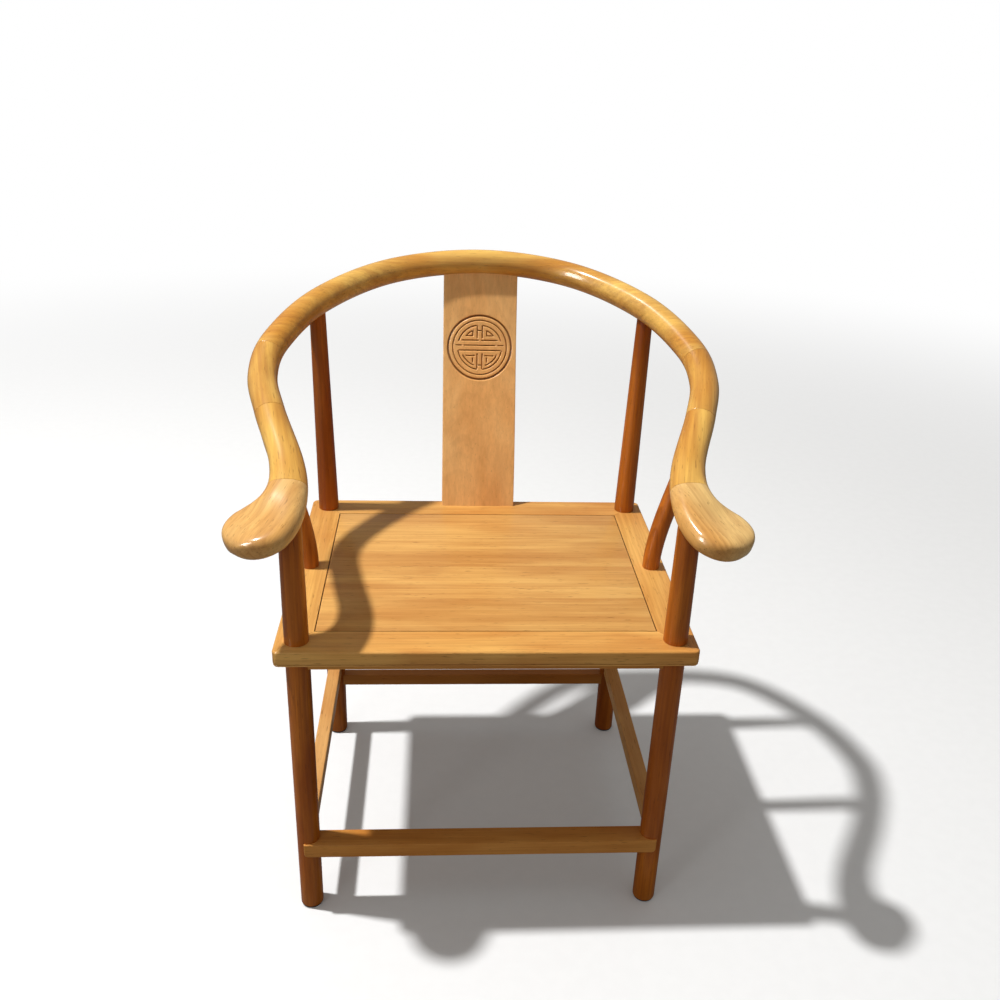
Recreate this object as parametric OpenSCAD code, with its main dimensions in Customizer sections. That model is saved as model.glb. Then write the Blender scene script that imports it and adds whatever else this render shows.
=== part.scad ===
// Round-back armchair: a horseshoe rail on posts, a framed panel seat and a stretchered leg frame.
// The chair stands on z = 0 with its front towards -Y, and is the same on both sides of x = 0.

/* [Seat] */
// Width of the seat frame over its outer edges
seat_w = 582; // [540:1:640]
// Depth of the seat frame over its outer edges
seat_d = 487; // [450:1:540]
// Height of the seat top above the floor
seat_h = 478; // [430:1:520]
// Height of the plain band on the frame edge
band_h = 19.5; // [18:0.5:24]
// Height of the bead under the band
bead_h = 3; // [2.5:0.5:7]
// Height of the groove between band and bead
quirk_h = 1; // [1:0.5:2.5]
// Depth of that groove
quirk_depth = 2; // [1:0.5:3]
// Rounding of the frame's top edge
arris_r = 3; // [2:0.5:5]
// Rounding of the frame's corners, seen from above
corner_r = 9; // [6:1:14]
// Width of each side member of the frame
side_member_w = 51; // [46:1:60]
// Width of the front member
front_member_w = 53; // [48:1:62]
// Width of the back member
back_member_w = 56; // [52:1:64]
// Thickness of the seat panel
panel_t = 12; // [10:1:14]
// Number of boards glued side by side into the panel
panel_boards = 4; // [2:1:6]
// Open seam between the panel and the frame
panel_seam = 1.2; // [0.4:0.2:1.6]
// How far the panel's tongue runs into the frame
tongue_in = 8; // [5:1:10]
// Thickness of the panel's tongue
tongue_t = 6; // [4:1:7]

/* [Legs and posts] */
// Diameter of the legs
leg_d = 34; // [30:1:38]
// Diameter of the legs where they pass through the frame
neck_d = 26; // [22:1:28]
// Distance from the leg axis to the frame's outer edges
leg_inset = 30; // [26:1:32]
// Diameter of the front posts under the handrail
front_post_d = 31; // [27:0.5:32]
// Diameter of the back posts under the handrail
rear_post_d = 25.5; // [24:0.5:30]
// Diameter of the curved side posts at the seat
side_post_d = 27; // [24:0.5:29]
// Diameter of the curved side posts under the handrail
side_post_top_d = 29.5; // [22:0.5:32]
// Distance from the side post axis to the frame's outer edge
side_post_inset = 23; // [20:1:26]
// Thickness of the dark pads under the feet
pad_t = 3; // [2:0.5:5]
// Diameter of those pads
pad_d = 31; // [24:1:33]

/* [Rail] */
// Height of the rail's middle line above the seat at the back
back_rise = 405; // [385:1:440]
// Height of the hand ends' middle line above the seat
arm_rise = 174; // [160:2:190]
// How far the rail's middle line stands outside the seat at the back
back_overhang = 106; // [90:1:120]
// How far it stands outside the seat at the sides
side_overhang = 38; // [32:1:42]
// Width of the rail across
rail_w = 42.5; // [39:0.5:46]
// Thickness of the rail
rail_t = 40.5; // [37:0.5:44]
// Width of the flared hand ends
hand_w = 98; // [84:1:106]
// Thickness of the hand ends
hand_t = 35.5; // [31:0.5:38]
// Length of the rounded nose on a hand end
nose_len = 46; // [40:1:54]

/* [Splat] */
// Width of the splat at the seat
splat_w = 127; // [116:1:150]
// How much narrower the splat is at its top
splat_taper = 0; // [0:0.5:8]
// Thickness of the splat
splat_t = 14; // [11:0.5:16]
// Depth of its gentle S curve
splat_bow = 5; // [0:0.5:8]
// Diameter of the carved roundel
roundel_d = 115.5; // [84:0.5:118]
// Depth of the carving
carving_depth = 2.4; // [1.2:0.2:4]
// Height of the roundel's centre above the seat
roundel_rise = 265.5; // [240:0.5:300]

/* [Stretchers] */
// Height of the footrest's top above the floor
footrest_top = 130; // [100:2:150]
// Height of the footrest board's section
footrest_h = 24; // [20:1:28]
// Depth of the footrest board
footrest_depth = 33; // [28:1:40]
// Height of the side stretchers' top
side_stretcher_top = 158; // [156:1:220]
// Height of a side stretcher's section
side_stretcher_h = 25; // [20:1:26]
// Width of a side stretcher's section
side_stretcher_w = 22; // [18:1:24]
// Height of the rear stretcher's top
rear_stretcher_top = 130; // [100:2:130]
// Height of the rear stretcher's section
rear_stretcher_h = 22; // [18:1:26]
// Depth of the rear stretcher's section
rear_stretcher_w = 20; // [16:1:24]
// Height of the strips under the seat frame
strip_h = 18; // [8:1:26]
// Thickness of those strips
strip_t = 12; // [9:1:14]
// How far a strip's face stands in front of the leg axes
strip_out = 9; // [4:0.5:12]

/* [Hidden] */
// Clearance left round tenons and in housings
fit = 0.1;
// Width of the glue seams in the rail
seam = 0.2;
// Reach of the cutters past the faces that they open
over = 1;
round_fn = 48;

half_w = seat_w / 2;
half_d = seat_d / 2;
frame_t = band_h + quirk_h + bead_h;
frame_base = seat_h - frame_t;
leg_x = half_w - leg_inset;
front_leg_y = leg_inset - half_d;
rear_leg_y = half_d - leg_inset;
side_post_x = half_w - side_post_inset;
opening_x = half_w - side_member_w;
opening_front = front_member_w - half_d;
opening_back = half_d - back_member_w;
tongue_top = seat_h - tongue_t;

// Tenons of the leg frame and the frame corners
stretcher_tenon_t = 9;
footrest_tenon_back = 8;
stretcher_tenon_len = 20;
corner_tenon_t = 8;
corner_tenon_len = 26;
corner_tenon_w = 20;
corner_tenon_base = 3;
post_tenon_d = 12;
side_tenon_d = 15;
side_tenon_len = 18;
foot_arris = 1.5;
footrest_lap = 16;
footrest_round = 6;
footrest_proud = 2.5;
footrest_end = 5.5;

// The battens under the panel
batten_w = 20;
batten_x = seat_w * 0.19;
dovetail_h = 4;
dovetail_spread = 2.5;
batten_tenon = 10;

// The back stands out behind the seat, so everything is moved forward until the whole chair is centred
chair_shift = 47.5;
module centred() {
    translate([0, -chair_shift, 0]) children();
}

// The rail's middle line, from the middle of the back to the right hand end. The first points are
// shares of the half width, the depth and the height, and the last ones are set off from the front post.
crest_y = half_d + back_overhang;
crest_z = seat_h + back_rise;
hand_z = seat_h + arm_rise;
rail_half = half_w + side_overhang;
rail_shares = [[0, 0, 1], [0.46, 0.038, 0.938], [0.793, 0.226, 0.821], [0.968, 0.411, 0.652],
    [1, 0.54, 0.512], [0.938, 0.679, 0.396]];
hand_offsets = [[13, 88.5, 50], [9, 28, 24], [35, -15, 0], [91, -62, -10]];
rail_depth = crest_y - front_leg_y;
rail_drop = crest_z - hand_z;
rail_line = concat(
    [for (p = rail_shares) [p[0] * rail_half, crest_y - p[1] * rail_depth, hand_z + p[2] * rail_drop]],
    [for (p = hand_offsets) [leg_x, front_leg_y, hand_z] + p]);
// Width and thickness of the rail's section at each of those points, as shares of its own, and how square it is
// across and upwards. The last three are shares of the hand's width and thickness, and how square the underside is
// comes last. A hand is flat on top and rounder underneath.
rail_shape = [[1, 1, 2, 2], [1, 1.015, 2, 2], [1.01, 1.025, 2, 2], [1.035, 1.015, 2, 2], [1.015, 0.99, 2, 2],
    [1.01, 0.95, 2, 2], [1.09, 0.9, 2.1, 2]];
hand_flat = 6;
hand_under = 4;
hand_square = 2.2;
hand_shape = [[0.62, 1.03, 3, 2.1, 3], [1, 1, hand_flat, hand_square, hand_under],
    [1, 1, hand_flat, hand_square, hand_under]];
rail_sections = concat([for (q = rail_shape) [q[0] * rail_w / 2, q[1] * rail_t / 2, q[2], q[3], q[2]]],
    [for (q = hand_shape) [q[0] * hand_w / 2, q[1] * hand_t / 2, q[2], q[3], q[4]]]);
rail_start = concat(rail_line[1], rail_sections[1]);
rail_keys = concat([[-rail_start[0], for (k = [1:7]) rail_start[k]]],
    [for (i = [0:len(rail_line) - 1]) concat(rail_line[i], rail_sections[i])]);
rail_end = 8;
// Where the rail's joints start and where the posts meet it, counted in spans of the middle line
rail_joints = [3.3, 5.05, 6.66];
lap = 0.5;
rear_post_at = 2.07;
side_post_at = 4.47;
seam_u = 0.0025;
ring_step = 1 / 6;
ring_sides = 32;
half_ring = ring_sides / 2;
lap_angle = asin(seam / rail_t);
pin_w = 5;
pin_len = 7;
pin_top = 8;

// Curve through the rail's points
function blend(p, t) = 0.5 * (2 * p[1] + (p[2] - p[0]) * t + (2 * p[0] - 5 * p[1] + 4 * p[2] - p[3]) * t * t
    + (3 * p[1] - p[0] - 3 * p[2] + p[3]) * t * t * t);
function key_at(u) = let (i = min(floor(u), rail_end - 1)) blend([for (k = [0:3]) rail_keys[i + k]], u - i);
function first3(v) = [v[0], v[1], v[2]];
function unit(v) = v / norm(v);
function rail_point(u) = first3(key_at(u));
function rail_tangent(u) = u < 0.01 ? [1, 0, 0] : u > rail_end - 0.01
    ? unit(rail_line[rail_end + 1] - rail_line[rail_end - 1])
    : unit(rail_point(min(u + 0.01, rail_end)) - rail_point(u - 0.01));
function power(x, e) = sign(x) * pow(abs(x), e);

// One ring of the rail's section. Past the last point the rings close into the rounded nose.
function nose_angle(u) = u > rail_end ? asin(min(u - rail_end, 0.9995)) : 0;
function ring_angle(j) = j < half_ring ? lap_angle + j * (180 - 2 * lap_angle) / (half_ring - 1)
    : 180 + lap_angle + (j - half_ring) * (180 - 2 * lap_angle) / (half_ring - 1);
function right_ring(u) = let (k = key_at(min(u, rail_end)), t = rail_tangent(u), n = unit(cross(t, [0, 0, 1])),
        b = cross(n, t), g = nose_angle(u), c = first3(k) + t * nose_len * sin(g),
        w = k[3] * cos(g))
    [for (j = [0:ring_sides - 1]) let (across = j < half_ring ? k[5] : k[7],
        h = k[4] * pow(1 - pow(sin(g), across), 1 / k[6]))
        c + n * w * power(cos(ring_angle(j)), 2 / across) + b * h * power(sin(ring_angle(j)), 2 / k[6])];
function ring(u) = u >= 0 ? right_ring(u) : [for (p = right_ring(-u)) [-p[0], p[1], p[2]]];

// Corner numbers round a whole section, its upper half and its lower half
loops = [[for (j = [0:ring_sides - 1]) j], [for (j = [0:half_ring - 1]) j], [for (j = [half_ring:ring_sides - 1]) j]];
// What is left of a whole section where it steps down to its upper or lower half
steps = [[], concat(loops[2], [0, half_ring - 1]), concat(loops[1], [half_ring, ring_sides - 1])];
function backwards(v) = [for (i = [len(v) - 1:-1:0]) v[i]];
function shifted(v, n) = [for (i = v) i + n];
function spans(a, b) = let (n = max(1, ceil((b - a) / ring_step - 0.01))) [for (i = [0:n - 1]) a + (b - a) * i / n];

// A length of rail made of stretches [start, end, kind], where the kind is 0 whole, 1 upper half, 2 lower half
module rail_length(stretches, last_rings = []) {
    stations = concat([for (s = stretches) for (u = spans(s[0], s[1])) [u, s[2]]],
        [for (u = last_rings) [u, stretches[len(stretches) - 1][2]]]);
    n = len(stations);
    m = ring_sides;
    sides = [for (i = [0:n - 2]) let (l = loops[stations[i][1]]) for (j = [0:len(l) - 1])
        let (a = l[j], b = l[(j + 1) % len(l)]) each [[i * m + a, i * m + b, (i + 1) * m + b],
            [i * m + a, (i + 1) * m + b, (i + 1) * m + a]]];
    shoulders = [for (i = [1:n - 2]) let (was = stations[i - 1][1], now = stations[i][1]) if (was != now)
        was == 0 ? shifted(steps[now], i * m) : backwards(shifted(steps[was], i * m))];
    ends = [backwards(loops[stations[0][1]]), shifted(loops[stations[n - 1][1]], (n - 1) * m)];
    polyhedron(points = [for (s = stations) each ring(s[0])], faces = concat(sides, shoulders, ends));
}

// Puts its child at a point of the rail, with X along the rail and Z up
module on_rail(u) {
    t = rail_tangent(u);
    translate(rail_point(u)) rotate([0, -asin(t[2]), atan2(t[1], t[0])]) children();
}

module mirrored(side) {
    if (side > 0) children();
    else mirror([1, 0, 0]) children();
}

module both_sides() {
    for (side = [-1, 1]) mirrored(side) children();
}

// A box from its lowest to its highest corner
module span_box(a, b) {
    translate(a) cube(b - a);
}

// A tapered post between two points with a round tenon on its upper end, drawn larger by gap where it is a cutter
module leaning_post(foot, head, d_foot, d_head, short, gap = 0) {
    v = head - foot;
    length = norm(v);
    translate(foot) rotate([0, acos(v[2] / length), atan2(v[1], v[0])]) {
        cylinder(h = length - short + gap, d1 = d_foot + 2 * gap, d2 = d_head + 2 * gap, $fn = round_fn);
        cylinder(h = length + short * 0.75 + gap, d = post_tenon_d + 2 * gap, $fn = round_fn);
    }
}

rear_foot = [leg_x, rear_leg_y, seat_h];
rear_head = rail_point(rear_post_at);
rear_axis = unit(rear_head - rear_foot);
// How far below the rail's middle line each post's shoulder ends
rear_short = 8;
rear_root = 8;
side_short = 8;
front_bury = 10;
front_post_top = hand_z + front_bury;
front_tenon_top = front_post_top + post_tenon_d * 0.8;

module rear_post(gap = 0) {
    difference() {
        leaning_post(rear_foot - rear_root * rear_axis, rear_head, leg_d, rear_post_d, rear_short, gap);
        span_box([0, 0, frame_base - leg_d], [seat_w, seat_d, seat_h]);
    }
}

module front_post(gap = 0) {
    translate([leg_x, front_leg_y, seat_h]) {
        cylinder(h = front_post_top - seat_h + gap, d1 = leg_d + 2 * gap, d2 = front_post_d + 2 * gap, $fn = round_fn);
        cylinder(h = front_tenon_top - seat_h + gap, d = post_tenon_d + 2 * gap, $fn = round_fn);
    }
}

// The side post swings out from the frame to the rail in one smooth S curve
side_head = rail_point(side_post_at);
side_shift = norm([side_head[0] - side_post_x, side_head[1]]);
side_heading = atan2(side_head[1], side_head[0] - side_post_x);
side_top_z = side_head[2] - side_short;
side_post_h = side_top_z - seat_h;
side_head_tenon = 10;
post_rings = 20;
function side_ring(t, gap) = let (x = side_shift * (3 - 2 * t) * t * t,
        lean = atan(side_shift / side_post_h * 6 * t * (1 - t)),
        r = (side_post_d + (side_post_top_d - side_post_d) * t) / 2 + gap)
    [for (a = [0:360 / ring_sides:359]) [x + r * cos(a) * cos(lean), r * sin(a),
        seat_h + side_post_h * t - r * cos(a) * sin(lean)]];

module side_post_body(gap = 0) {
    m = ring_sides;
    rings = concat([for (i = [0:post_rings]) side_ring(i / post_rings, gap)],
        gap > 0 ? [[for (p = side_ring(1, gap)) p + [0, 0, gap]]] : []);
    n = len(rings);
    sides = [for (i = [0:n - 2], j = [0:m - 1]) let (k = (j + 1) % m)
        each [[i * m + j, (i + 1) * m + k, i * m + k], [i * m + j, (i + 1) * m + j, (i + 1) * m + k]]];
    ends = [[for (j = [0:m - 1]) j], [for (j = [m - 1:-1:0]) (n - 1) * m + j]];
    translate([side_post_x, 0, 0]) rotate([0, 0, side_heading]) {
        polyhedron(points = [for (r = rings) each r], faces = concat(sides, ends));
        translate([side_shift, 0, side_top_z - side_head_tenon])
            cylinder(h = 2 * side_head_tenon + gap, d = post_tenon_d + 2 * gap, $fn = round_fn);
    }
}

// Wedge that locks a lap joint from below
module lock_pin(u, gap = 0) {
    k = key_at(u);
    on_rail(u) span_box([-pin_len / 2 - gap, -pin_w / 2 - gap, -k[4] + (gap > 0 ? -over : 1.5)],
        [pin_len / 2 + gap, pin_w / 2 + gap, k[4] - pin_top + gap]);
}

// The splat is an S curve in side view. Its share of the height gives how far back it stands there.
splat_inset = 14.5;
splat_setback = 3;
splat_lean = back_overhang + splat_inset - splat_setback;
splat_tongue = 8;
splat_foot_y = half_d - splat_inset;
splat_top = crest_z - rail_t / 2 + splat_tongue;
splat_foot = seat_h - splat_tongue;
function splat_y(z) = let (s = (z - seat_h) / (splat_top - seat_h))
    splat_foot_y + splat_lean * s - splat_bow * sin(360 * s);
function splat_tilt(z) = atan(splat_y(z + 0.5) - splat_y(z - 0.5));
splat_steps = 24;

module splat_blank(gap = 0) {
    zs = [for (i = [0:splat_steps]) splat_foot - gap + (splat_top - splat_foot + 2 * gap) * i / splat_steps];
    t = splat_t / 2 + gap;
    low = splat_w / 2 + gap;
    high = low - splat_taper / 2;
    intersection() {
        rotate([90, 0, 90]) linear_extrude(height = splat_w + 2 * gap, center = true)
            polygon(concat([for (z = zs) [splat_y(z) - t, z]], [for (z = backwards(zs)) [splat_y(z) + t, z]]));
        translate([0, seat_d, 0]) rotate([90, 0, 0]) linear_extrude(height = seat_d)
            polygon([[-low, splat_foot - over], [low, splat_foot - over], [high, splat_top + over],
                [-high, splat_top + over]]);
    }
}

// The seat frame's edge in section, from the corner's centre out
module edge_section() {
    polygon(concat([[0, frame_base], [corner_r - 1.5, frame_base], [corner_r - 0.5, frame_base + 1],
        [corner_r - 0.5, frame_base + bead_h], [corner_r - quirk_depth, frame_base + bead_h],
        [corner_r - quirk_depth, frame_base + bead_h + quirk_h], [corner_r, frame_base + bead_h + quirk_h]],
        [for (a = [0:15:90]) [corner_r - arris_r + arris_r * cos(a), seat_h - arris_r + arris_r * sin(a)]],
        [[0, seat_h]]));
}

module edge_run(length) {
    rotate([90, 0, 0]) linear_extrude(height = length, center = true) edge_section();
}

// The whole frame's moulded slab, before it is cut into its four members
module frame_slab() {
    in_w = half_w - corner_r;
    in_d = half_d - corner_r;
    span_box([-in_w, -in_d, frame_base], [in_w, in_d, seat_h]);
    for (q = [[in_w, 0, 0, in_d], [-in_w, 0, 180, in_d], [0, in_d, 90, in_w], [0, -in_d, -90, in_w]])
        translate([q[0], q[1], 0]) rotate([0, 0, q[2]]) edge_run(2 * q[3]);
    for (q = [[in_w, in_d, 0], [-in_w, in_d, 90], [-in_w, -in_d, 180], [in_w, -in_d, 270]])
        translate([q[0], q[1], 0]) rotate([0, 0, q[2]]) rotate_extrude(angle = 90, $fn = round_fn) edge_section();
}

module plan_prism(points) {
    translate([0, 0, frame_base - over]) linear_extrude(height = frame_t + 2 * over) polygon(points);
}

module panel_groove(gap = 0) {
    span_box([-opening_x - tongue_in - gap, opening_front - tongue_in - gap, seat_h - panel_t - gap],
        [opening_x + tongue_in + gap, opening_back + tongue_in + gap, tongue_top + gap]);
}

module leg_holes() {
    for (x = [-leg_x, leg_x], y = [front_leg_y, rear_leg_y])
        translate([x, y, frame_base - over]) cylinder(h = frame_t + 2 * over, d = neck_d + 2 * fit, $fn = round_fn);
}

// Tenons of the front and back members, which run past the mitres into the side members
module corner_tenon(y_side, gap = 0) {
    edge = y_side < 0 ? opening_front : opening_back;
    low = min(edge, edge + y_side * corner_tenon_w);
    span_box([opening_x - 4, low - gap, frame_base + corner_tenon_base - gap],
        [opening_x + corner_tenon_len + gap, low + corner_tenon_w + gap, frame_base + corner_tenon_base + corner_tenon_t + gap]);
}

module batten(gap = 0) {
    top = seat_h - panel_t + dovetail_h + gap;
    low = frame_base - gap;
    w = batten_w / 2 + gap;
    translate([batten_x, opening_front, 0]) rotate([90, 0, 0]) mirror([0, 0, 1])
        linear_extrude(height = opening_back - opening_front)
            polygon([[-w, low], [w, low], [w, seat_h - panel_t], [w - dovetail_spread, seat_h - panel_t],
                [w, top], [-w, top], [-w + dovetail_spread, seat_h - panel_t], [-w, seat_h - panel_t]]);
    span_box([batten_x - w + 3, opening_front - batten_tenon - gap, low + 3],
        [batten_x + w - 3, opening_back + batten_tenon + gap, seat_h - panel_t - dovetail_h / 2 + gap]);
}

module member_cuts() {
    leg_holes();
    panel_groove(fit);
    both_sides() batten(fit);
}

module long_member(y_side) {
    edge = y_side < 0 ? opening_front : opening_back;
    difference() {
        union() {
            intersection() {
                frame_slab();
                plan_prism([[-half_w, y_side * half_d], [half_w, y_side * half_d], [opening_x, edge], [-opening_x, edge]]);
            }
            both_sides() corner_tenon(y_side);
        }
        member_cuts();
        splat_blank(fit);
    }
}

module side_member(side) {
    mirrored(side) difference() {
        intersection() {
            frame_slab();
            plan_prism([[half_w, -half_d], [half_w, half_d], [opening_x, opening_back], [opening_x, opening_front]]);
        }
        member_cuts();
        for (y_side = [-1, 1]) corner_tenon(y_side, fit);
        translate([side_post_x, 0, seat_h - side_tenon_len - fit])
            cylinder(h = side_tenon_len + over, d = side_tenon_d + 2 * fit, $fn = round_fn);
    }
}

// A stretcher between two legs: a square bar whose shoulders fit round the legs, with a flat tenon at each end
module stretcher_bar(length, w, h, gap = 0) {
    difference() {
        span_box([-length / 2, -w / 2 - gap, -h / 2 - gap], [length / 2, w / 2 + gap, h / 2 + gap]);
        for (x = [-length / 2, length / 2]) translate([x, 0, -h])
            cylinder(h = 2 * h, d = leg_d + 2 * fit, $fn = round_fn);
    }
    stretcher_tenon(length, h, gap);
}

module stretcher_tenon(length, h, gap = 0) {
    reach = length / 2 - leg_d / 2 + stretcher_tenon_len + gap;
    span_box([-reach, -stretcher_tenon_t / 2 - gap, -h / 2 + 4 - gap],
        [reach, stretcher_tenon_t / 2 + gap, h / 2 - 4 + gap]);
}

module side_stretcher_place() {
    translate([leg_x, (front_leg_y + rear_leg_y) / 2, side_stretcher_top - side_stretcher_h / 2])
        rotate([0, 0, 90]) children();
}

module rear_stretcher_place() {
    translate([0, rear_leg_y, rear_stretcher_top - rear_stretcher_h / 2]) children();
}

// The footrest: a board let into the fronts of the front legs
footrest_front = front_leg_y - leg_d / 2 - footrest_proud;
footrest_x = leg_x + footrest_end;
footrest_base = footrest_top - footrest_h;

module footrest_face(gap = 0) {
    x = footrest_x + gap;
    low = footrest_base - gap;
    high = footrest_top + gap;
    translate([0, footrest_front + footrest_lap + gap, 0]) rotate([90, 0, 0])
        linear_extrude(height = footrest_lap + gap)
            polygon(concat([[-x, high]], [for (a = [0:15:90])
                [-x + footrest_round * (1 - cos(a)), low + footrest_round * (1 - sin(a))]],
                [for (a = [90:-15:0]) [x - footrest_round * (1 - cos(a)), low + footrest_round * (1 - sin(a))]],
                [[x, high]]));
}

module footrest_tenon(gap = 0) {
    translate([0, footrest_front + footrest_depth - footrest_tenon_back, footrest_top - footrest_h / 2])
        stretcher_tenon(2 * leg_x, footrest_h, gap);
}

module leg_shaft(y) {
    translate([leg_x, y, 0]) {
        translate([0, 0, pad_t]) cylinder(h = foot_arris, d1 = leg_d - 2 * foot_arris, d2 = leg_d, $fn = round_fn);
        translate([0, 0, pad_t + foot_arris])
            cylinder(h = frame_base - pad_t - foot_arris, d = leg_d, $fn = round_fn);
        translate([0, 0, frame_base]) cylinder(h = frame_t, d = neck_d, $fn = round_fn);
    }
}

// A strip under the frame between two legs, glued to the frame, with ends that fit round the legs
module strip_bar(length) {
    difference() {
        span_box([-length / 2, -strip_out, 0], [length / 2, strip_t - strip_out, strip_h]);
        for (x = [-length / 2, length / 2]) translate([x, 0, -over])
            cylinder(h = strip_h + 2 * over, d = leg_d + 2 * fit, $fn = round_fn);
    }
}

// The roundel's carving, as shares of its radius: three sunk rings round a fret that is alike on both sides
groove_w = 0.05;
outer_ring = 0.95;
outer_ring_w = 0.1;
middle_ring = 0.81;
inner_ring = 0.66;
pocket_ring = 0.535;
hook_ring = 0.56;
stem_x = 0.075;
upper_bar = 0.21;
middle_bar = 0.06;
lower_bar = -0.09;
pocket_x = 0.21;
pocket_z = 0.345;
hook_z = -0.25;

module ring_cut(r, w) {
    difference() {
        circle(r = r + w / 2, $fn = 96);
        circle(r = r - w / 2, $fn = 96);
    }
}

// A straight groove from one point to another, along X or Y
module groove(a, b) {
    translate((a + b) / 2) square([abs(b[0] - a[0]) + groove_w, abs(b[1] - a[1]) + groove_w], center = true);
}

// The stretch of a ring between two corners of a box
module ring_part(r, a, b) {
    intersection() {
        ring_cut(r, groove_w);
        translate(a) square(b - a);
    }
}

module fret_cuts() {
    ring_cut(outer_ring, outer_ring_w);
    ring_cut(middle_ring, groove_w);
    difference() {
        ring_cut(inner_ring, groove_w);
        translate([-stem_x, -1]) square([2 * stem_x, 2]);
        translate([-1, lower_bar]) square([2, upper_bar - lower_bar - 0.04]);
    }
    groove([-0.46, middle_bar], [0.46, middle_bar]);
    groove([-0.61, lower_bar], [0.61, lower_bar]);
    groove([-0.04, 0.5], [0.04, 0.5]);
    groove([-0.04, -0.53], [0.04, -0.53]);
    for (side = [-1, 1]) scale([side, 1]) {
        groove([0.05, upper_bar], [0.52, upper_bar]);
        groove([0.56, middle_bar], [0.7, middle_bar]);
        groove([stem_x, 0.28], [stem_x, 0.63]);
        groove([stem_x, -0.2], [stem_x, -0.63]);
        groove([pocket_x, pocket_z], [pocket_x, 0.47]);
        groove([pocket_x, pocket_z], [0.38, pocket_z]);
        ring_part(pocket_ring, [pocket_x - groove_w / 2, pocket_z - groove_w / 2], [0.43, 0.52]);
        groove([0.16, hook_z], [0.4, hook_z]);
        groove([pocket_x, -0.32], [pocket_x, -0.44]);
        ring_part(hook_ring, [0.16, -0.6], [0.52, -0.2]);
    }
}

module crest_rail() {
    j = rail_joints[0];
    e = j + lap;
    centred() color("goldenrod") difference() {
        rail_length([[-e, -j, 2], [-j, 0, 0], [0, j, 0], [j, e, 2]], [e]);
        both_sides() rear_post(fit);
        splat_blank(fit);
        both_sides() lock_pin(j + lap / 2, fit);
    }
}

module elbow_rail(side) {
    a = rail_joints[0] + seam_u;
    b = rail_joints[1];
    centred() color("goldenrod") mirrored(side) difference() {
        rail_length([[a, a + lap, 1], [a + lap, b, 0], [b, b + lap, 2]], [b + lap]);
        side_post_body(fit);
        lock_pin(rail_joints[0] + lap / 2, fit);
        lock_pin(b + lap / 2, fit);
    }
}

module arm_rail(side) {
    a = rail_joints[1] + seam_u;
    b = rail_joints[2];
    centred() color("goldenrod") mirrored(side) difference() {
        rail_length([[a, a + lap, 1], [a + lap, b, 0], [b, b + lap, 2]], [b + lap]);
        lock_pin(rail_joints[1] + lap / 2, fit);
        lock_pin(b + lap / 2, fit);
    }
}

module hand_rail(side) {
    a = rail_joints[2] + seam_u;
    centred() color("goldenrod") mirrored(side) difference() {
        rail_length([[a, a + lap, 1], [a + lap, rail_end, 0]],
            [for (g = [0:12:84]) rail_end + sin(g), rail_end + 0.999]);
        front_post(fit);
        lock_pin(rail_joints[2] + lap / 2, fit);
    }
}

module rail_lock_pins() {
    centred() color("sienna") both_sides() for (j = rail_joints) lock_pin(j + lap / 2);
}

module back_splat() {
    z = seat_h + roundel_rise;
    centred() color("peru") difference() {
        splat_blank();
        translate([0, splat_y(z) - splat_t / 2, z]) rotate([90 - splat_tilt(z), 0, 0])
            translate([0, 0, -carving_depth]) linear_extrude(height = 2 * carving_depth)
                scale(roundel_d / 2) fret_cuts();
    }
}

module front_leg(side) {
    centred() color("chocolate") mirrored(side) difference() {
        union() {
            leg_shaft(front_leg_y);
            front_post();
        }
        footrest_face(fit);
        footrest_tenon(fit);
        side_stretcher_place() stretcher_tenon(rear_leg_y - front_leg_y, side_stretcher_h, fit);
    }
}

module rear_leg(side) {
    centred() color("chocolate") mirrored(side) difference() {
        union() {
            leg_shaft(rear_leg_y);
            rear_post();
        }
        rear_stretcher_place() stretcher_tenon(2 * leg_x, rear_stretcher_h, fit);
        side_stretcher_place() stretcher_tenon(rear_leg_y - front_leg_y, side_stretcher_h, fit);
    }
}

module side_post(side) {
    centred() color("chocolate") mirrored(side) {
        side_post_body();
        translate([side_post_x, 0, seat_h - side_tenon_len])
            cylinder(h = side_tenon_len * 1.2, d = side_tenon_d, $fn = round_fn);
    }
}

module seat_panel() {
    board = (opening_back - opening_front + 2 * tongue_in) / panel_boards;
    centred() color("sandybrown") for (i = [0:panel_boards - 1]) difference() {
        intersection() {
            union() {
                panel_groove();
                span_box([-opening_x + panel_seam, opening_front + panel_seam, seat_h - panel_t],
                    [opening_x - panel_seam, opening_back - panel_seam, seat_h]);
            }
            span_box([-half_w, opening_front - tongue_in + i * board + fit / 2, frame_base],
                [half_w, opening_front - tongue_in + (i + 1) * board - fit / 2, seat_h + over]);
        }
        both_sides() batten(fit);
    }
}

module seat_batten(side) {
    centred() color("burlywood") mirrored(side) batten();
}

module footrest() {
    centred() color("peru") {
        footrest_face();
        difference() {
            span_box([-leg_x, footrest_front + footrest_lap, footrest_base],
                [leg_x, footrest_front + footrest_depth, footrest_top]);
            both_sides() translate([leg_x, front_leg_y, 0])
                cylinder(h = footrest_top + over, d = leg_d + 2 * fit, $fn = round_fn);
        }
        footrest_tenon();
    }
}

module rear_stretcher() {
    centred() color("peru") rear_stretcher_place() stretcher_bar(2 * leg_x, rear_stretcher_w, rear_stretcher_h);
}

module side_stretcher(side) {
    centred() color("peru") mirrored(side) side_stretcher_place()
        stretcher_bar(rear_leg_y - front_leg_y, side_stretcher_w, side_stretcher_h);
}

module cross_strip(y_side) {
    y = y_side < 0 ? front_leg_y : rear_leg_y;
    centred() color("sienna") translate([0, y, frame_base - strip_h]) mirror([0, y_side < 0 ? 0 : 1, 0]) strip_bar(2 * leg_x);
}

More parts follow.
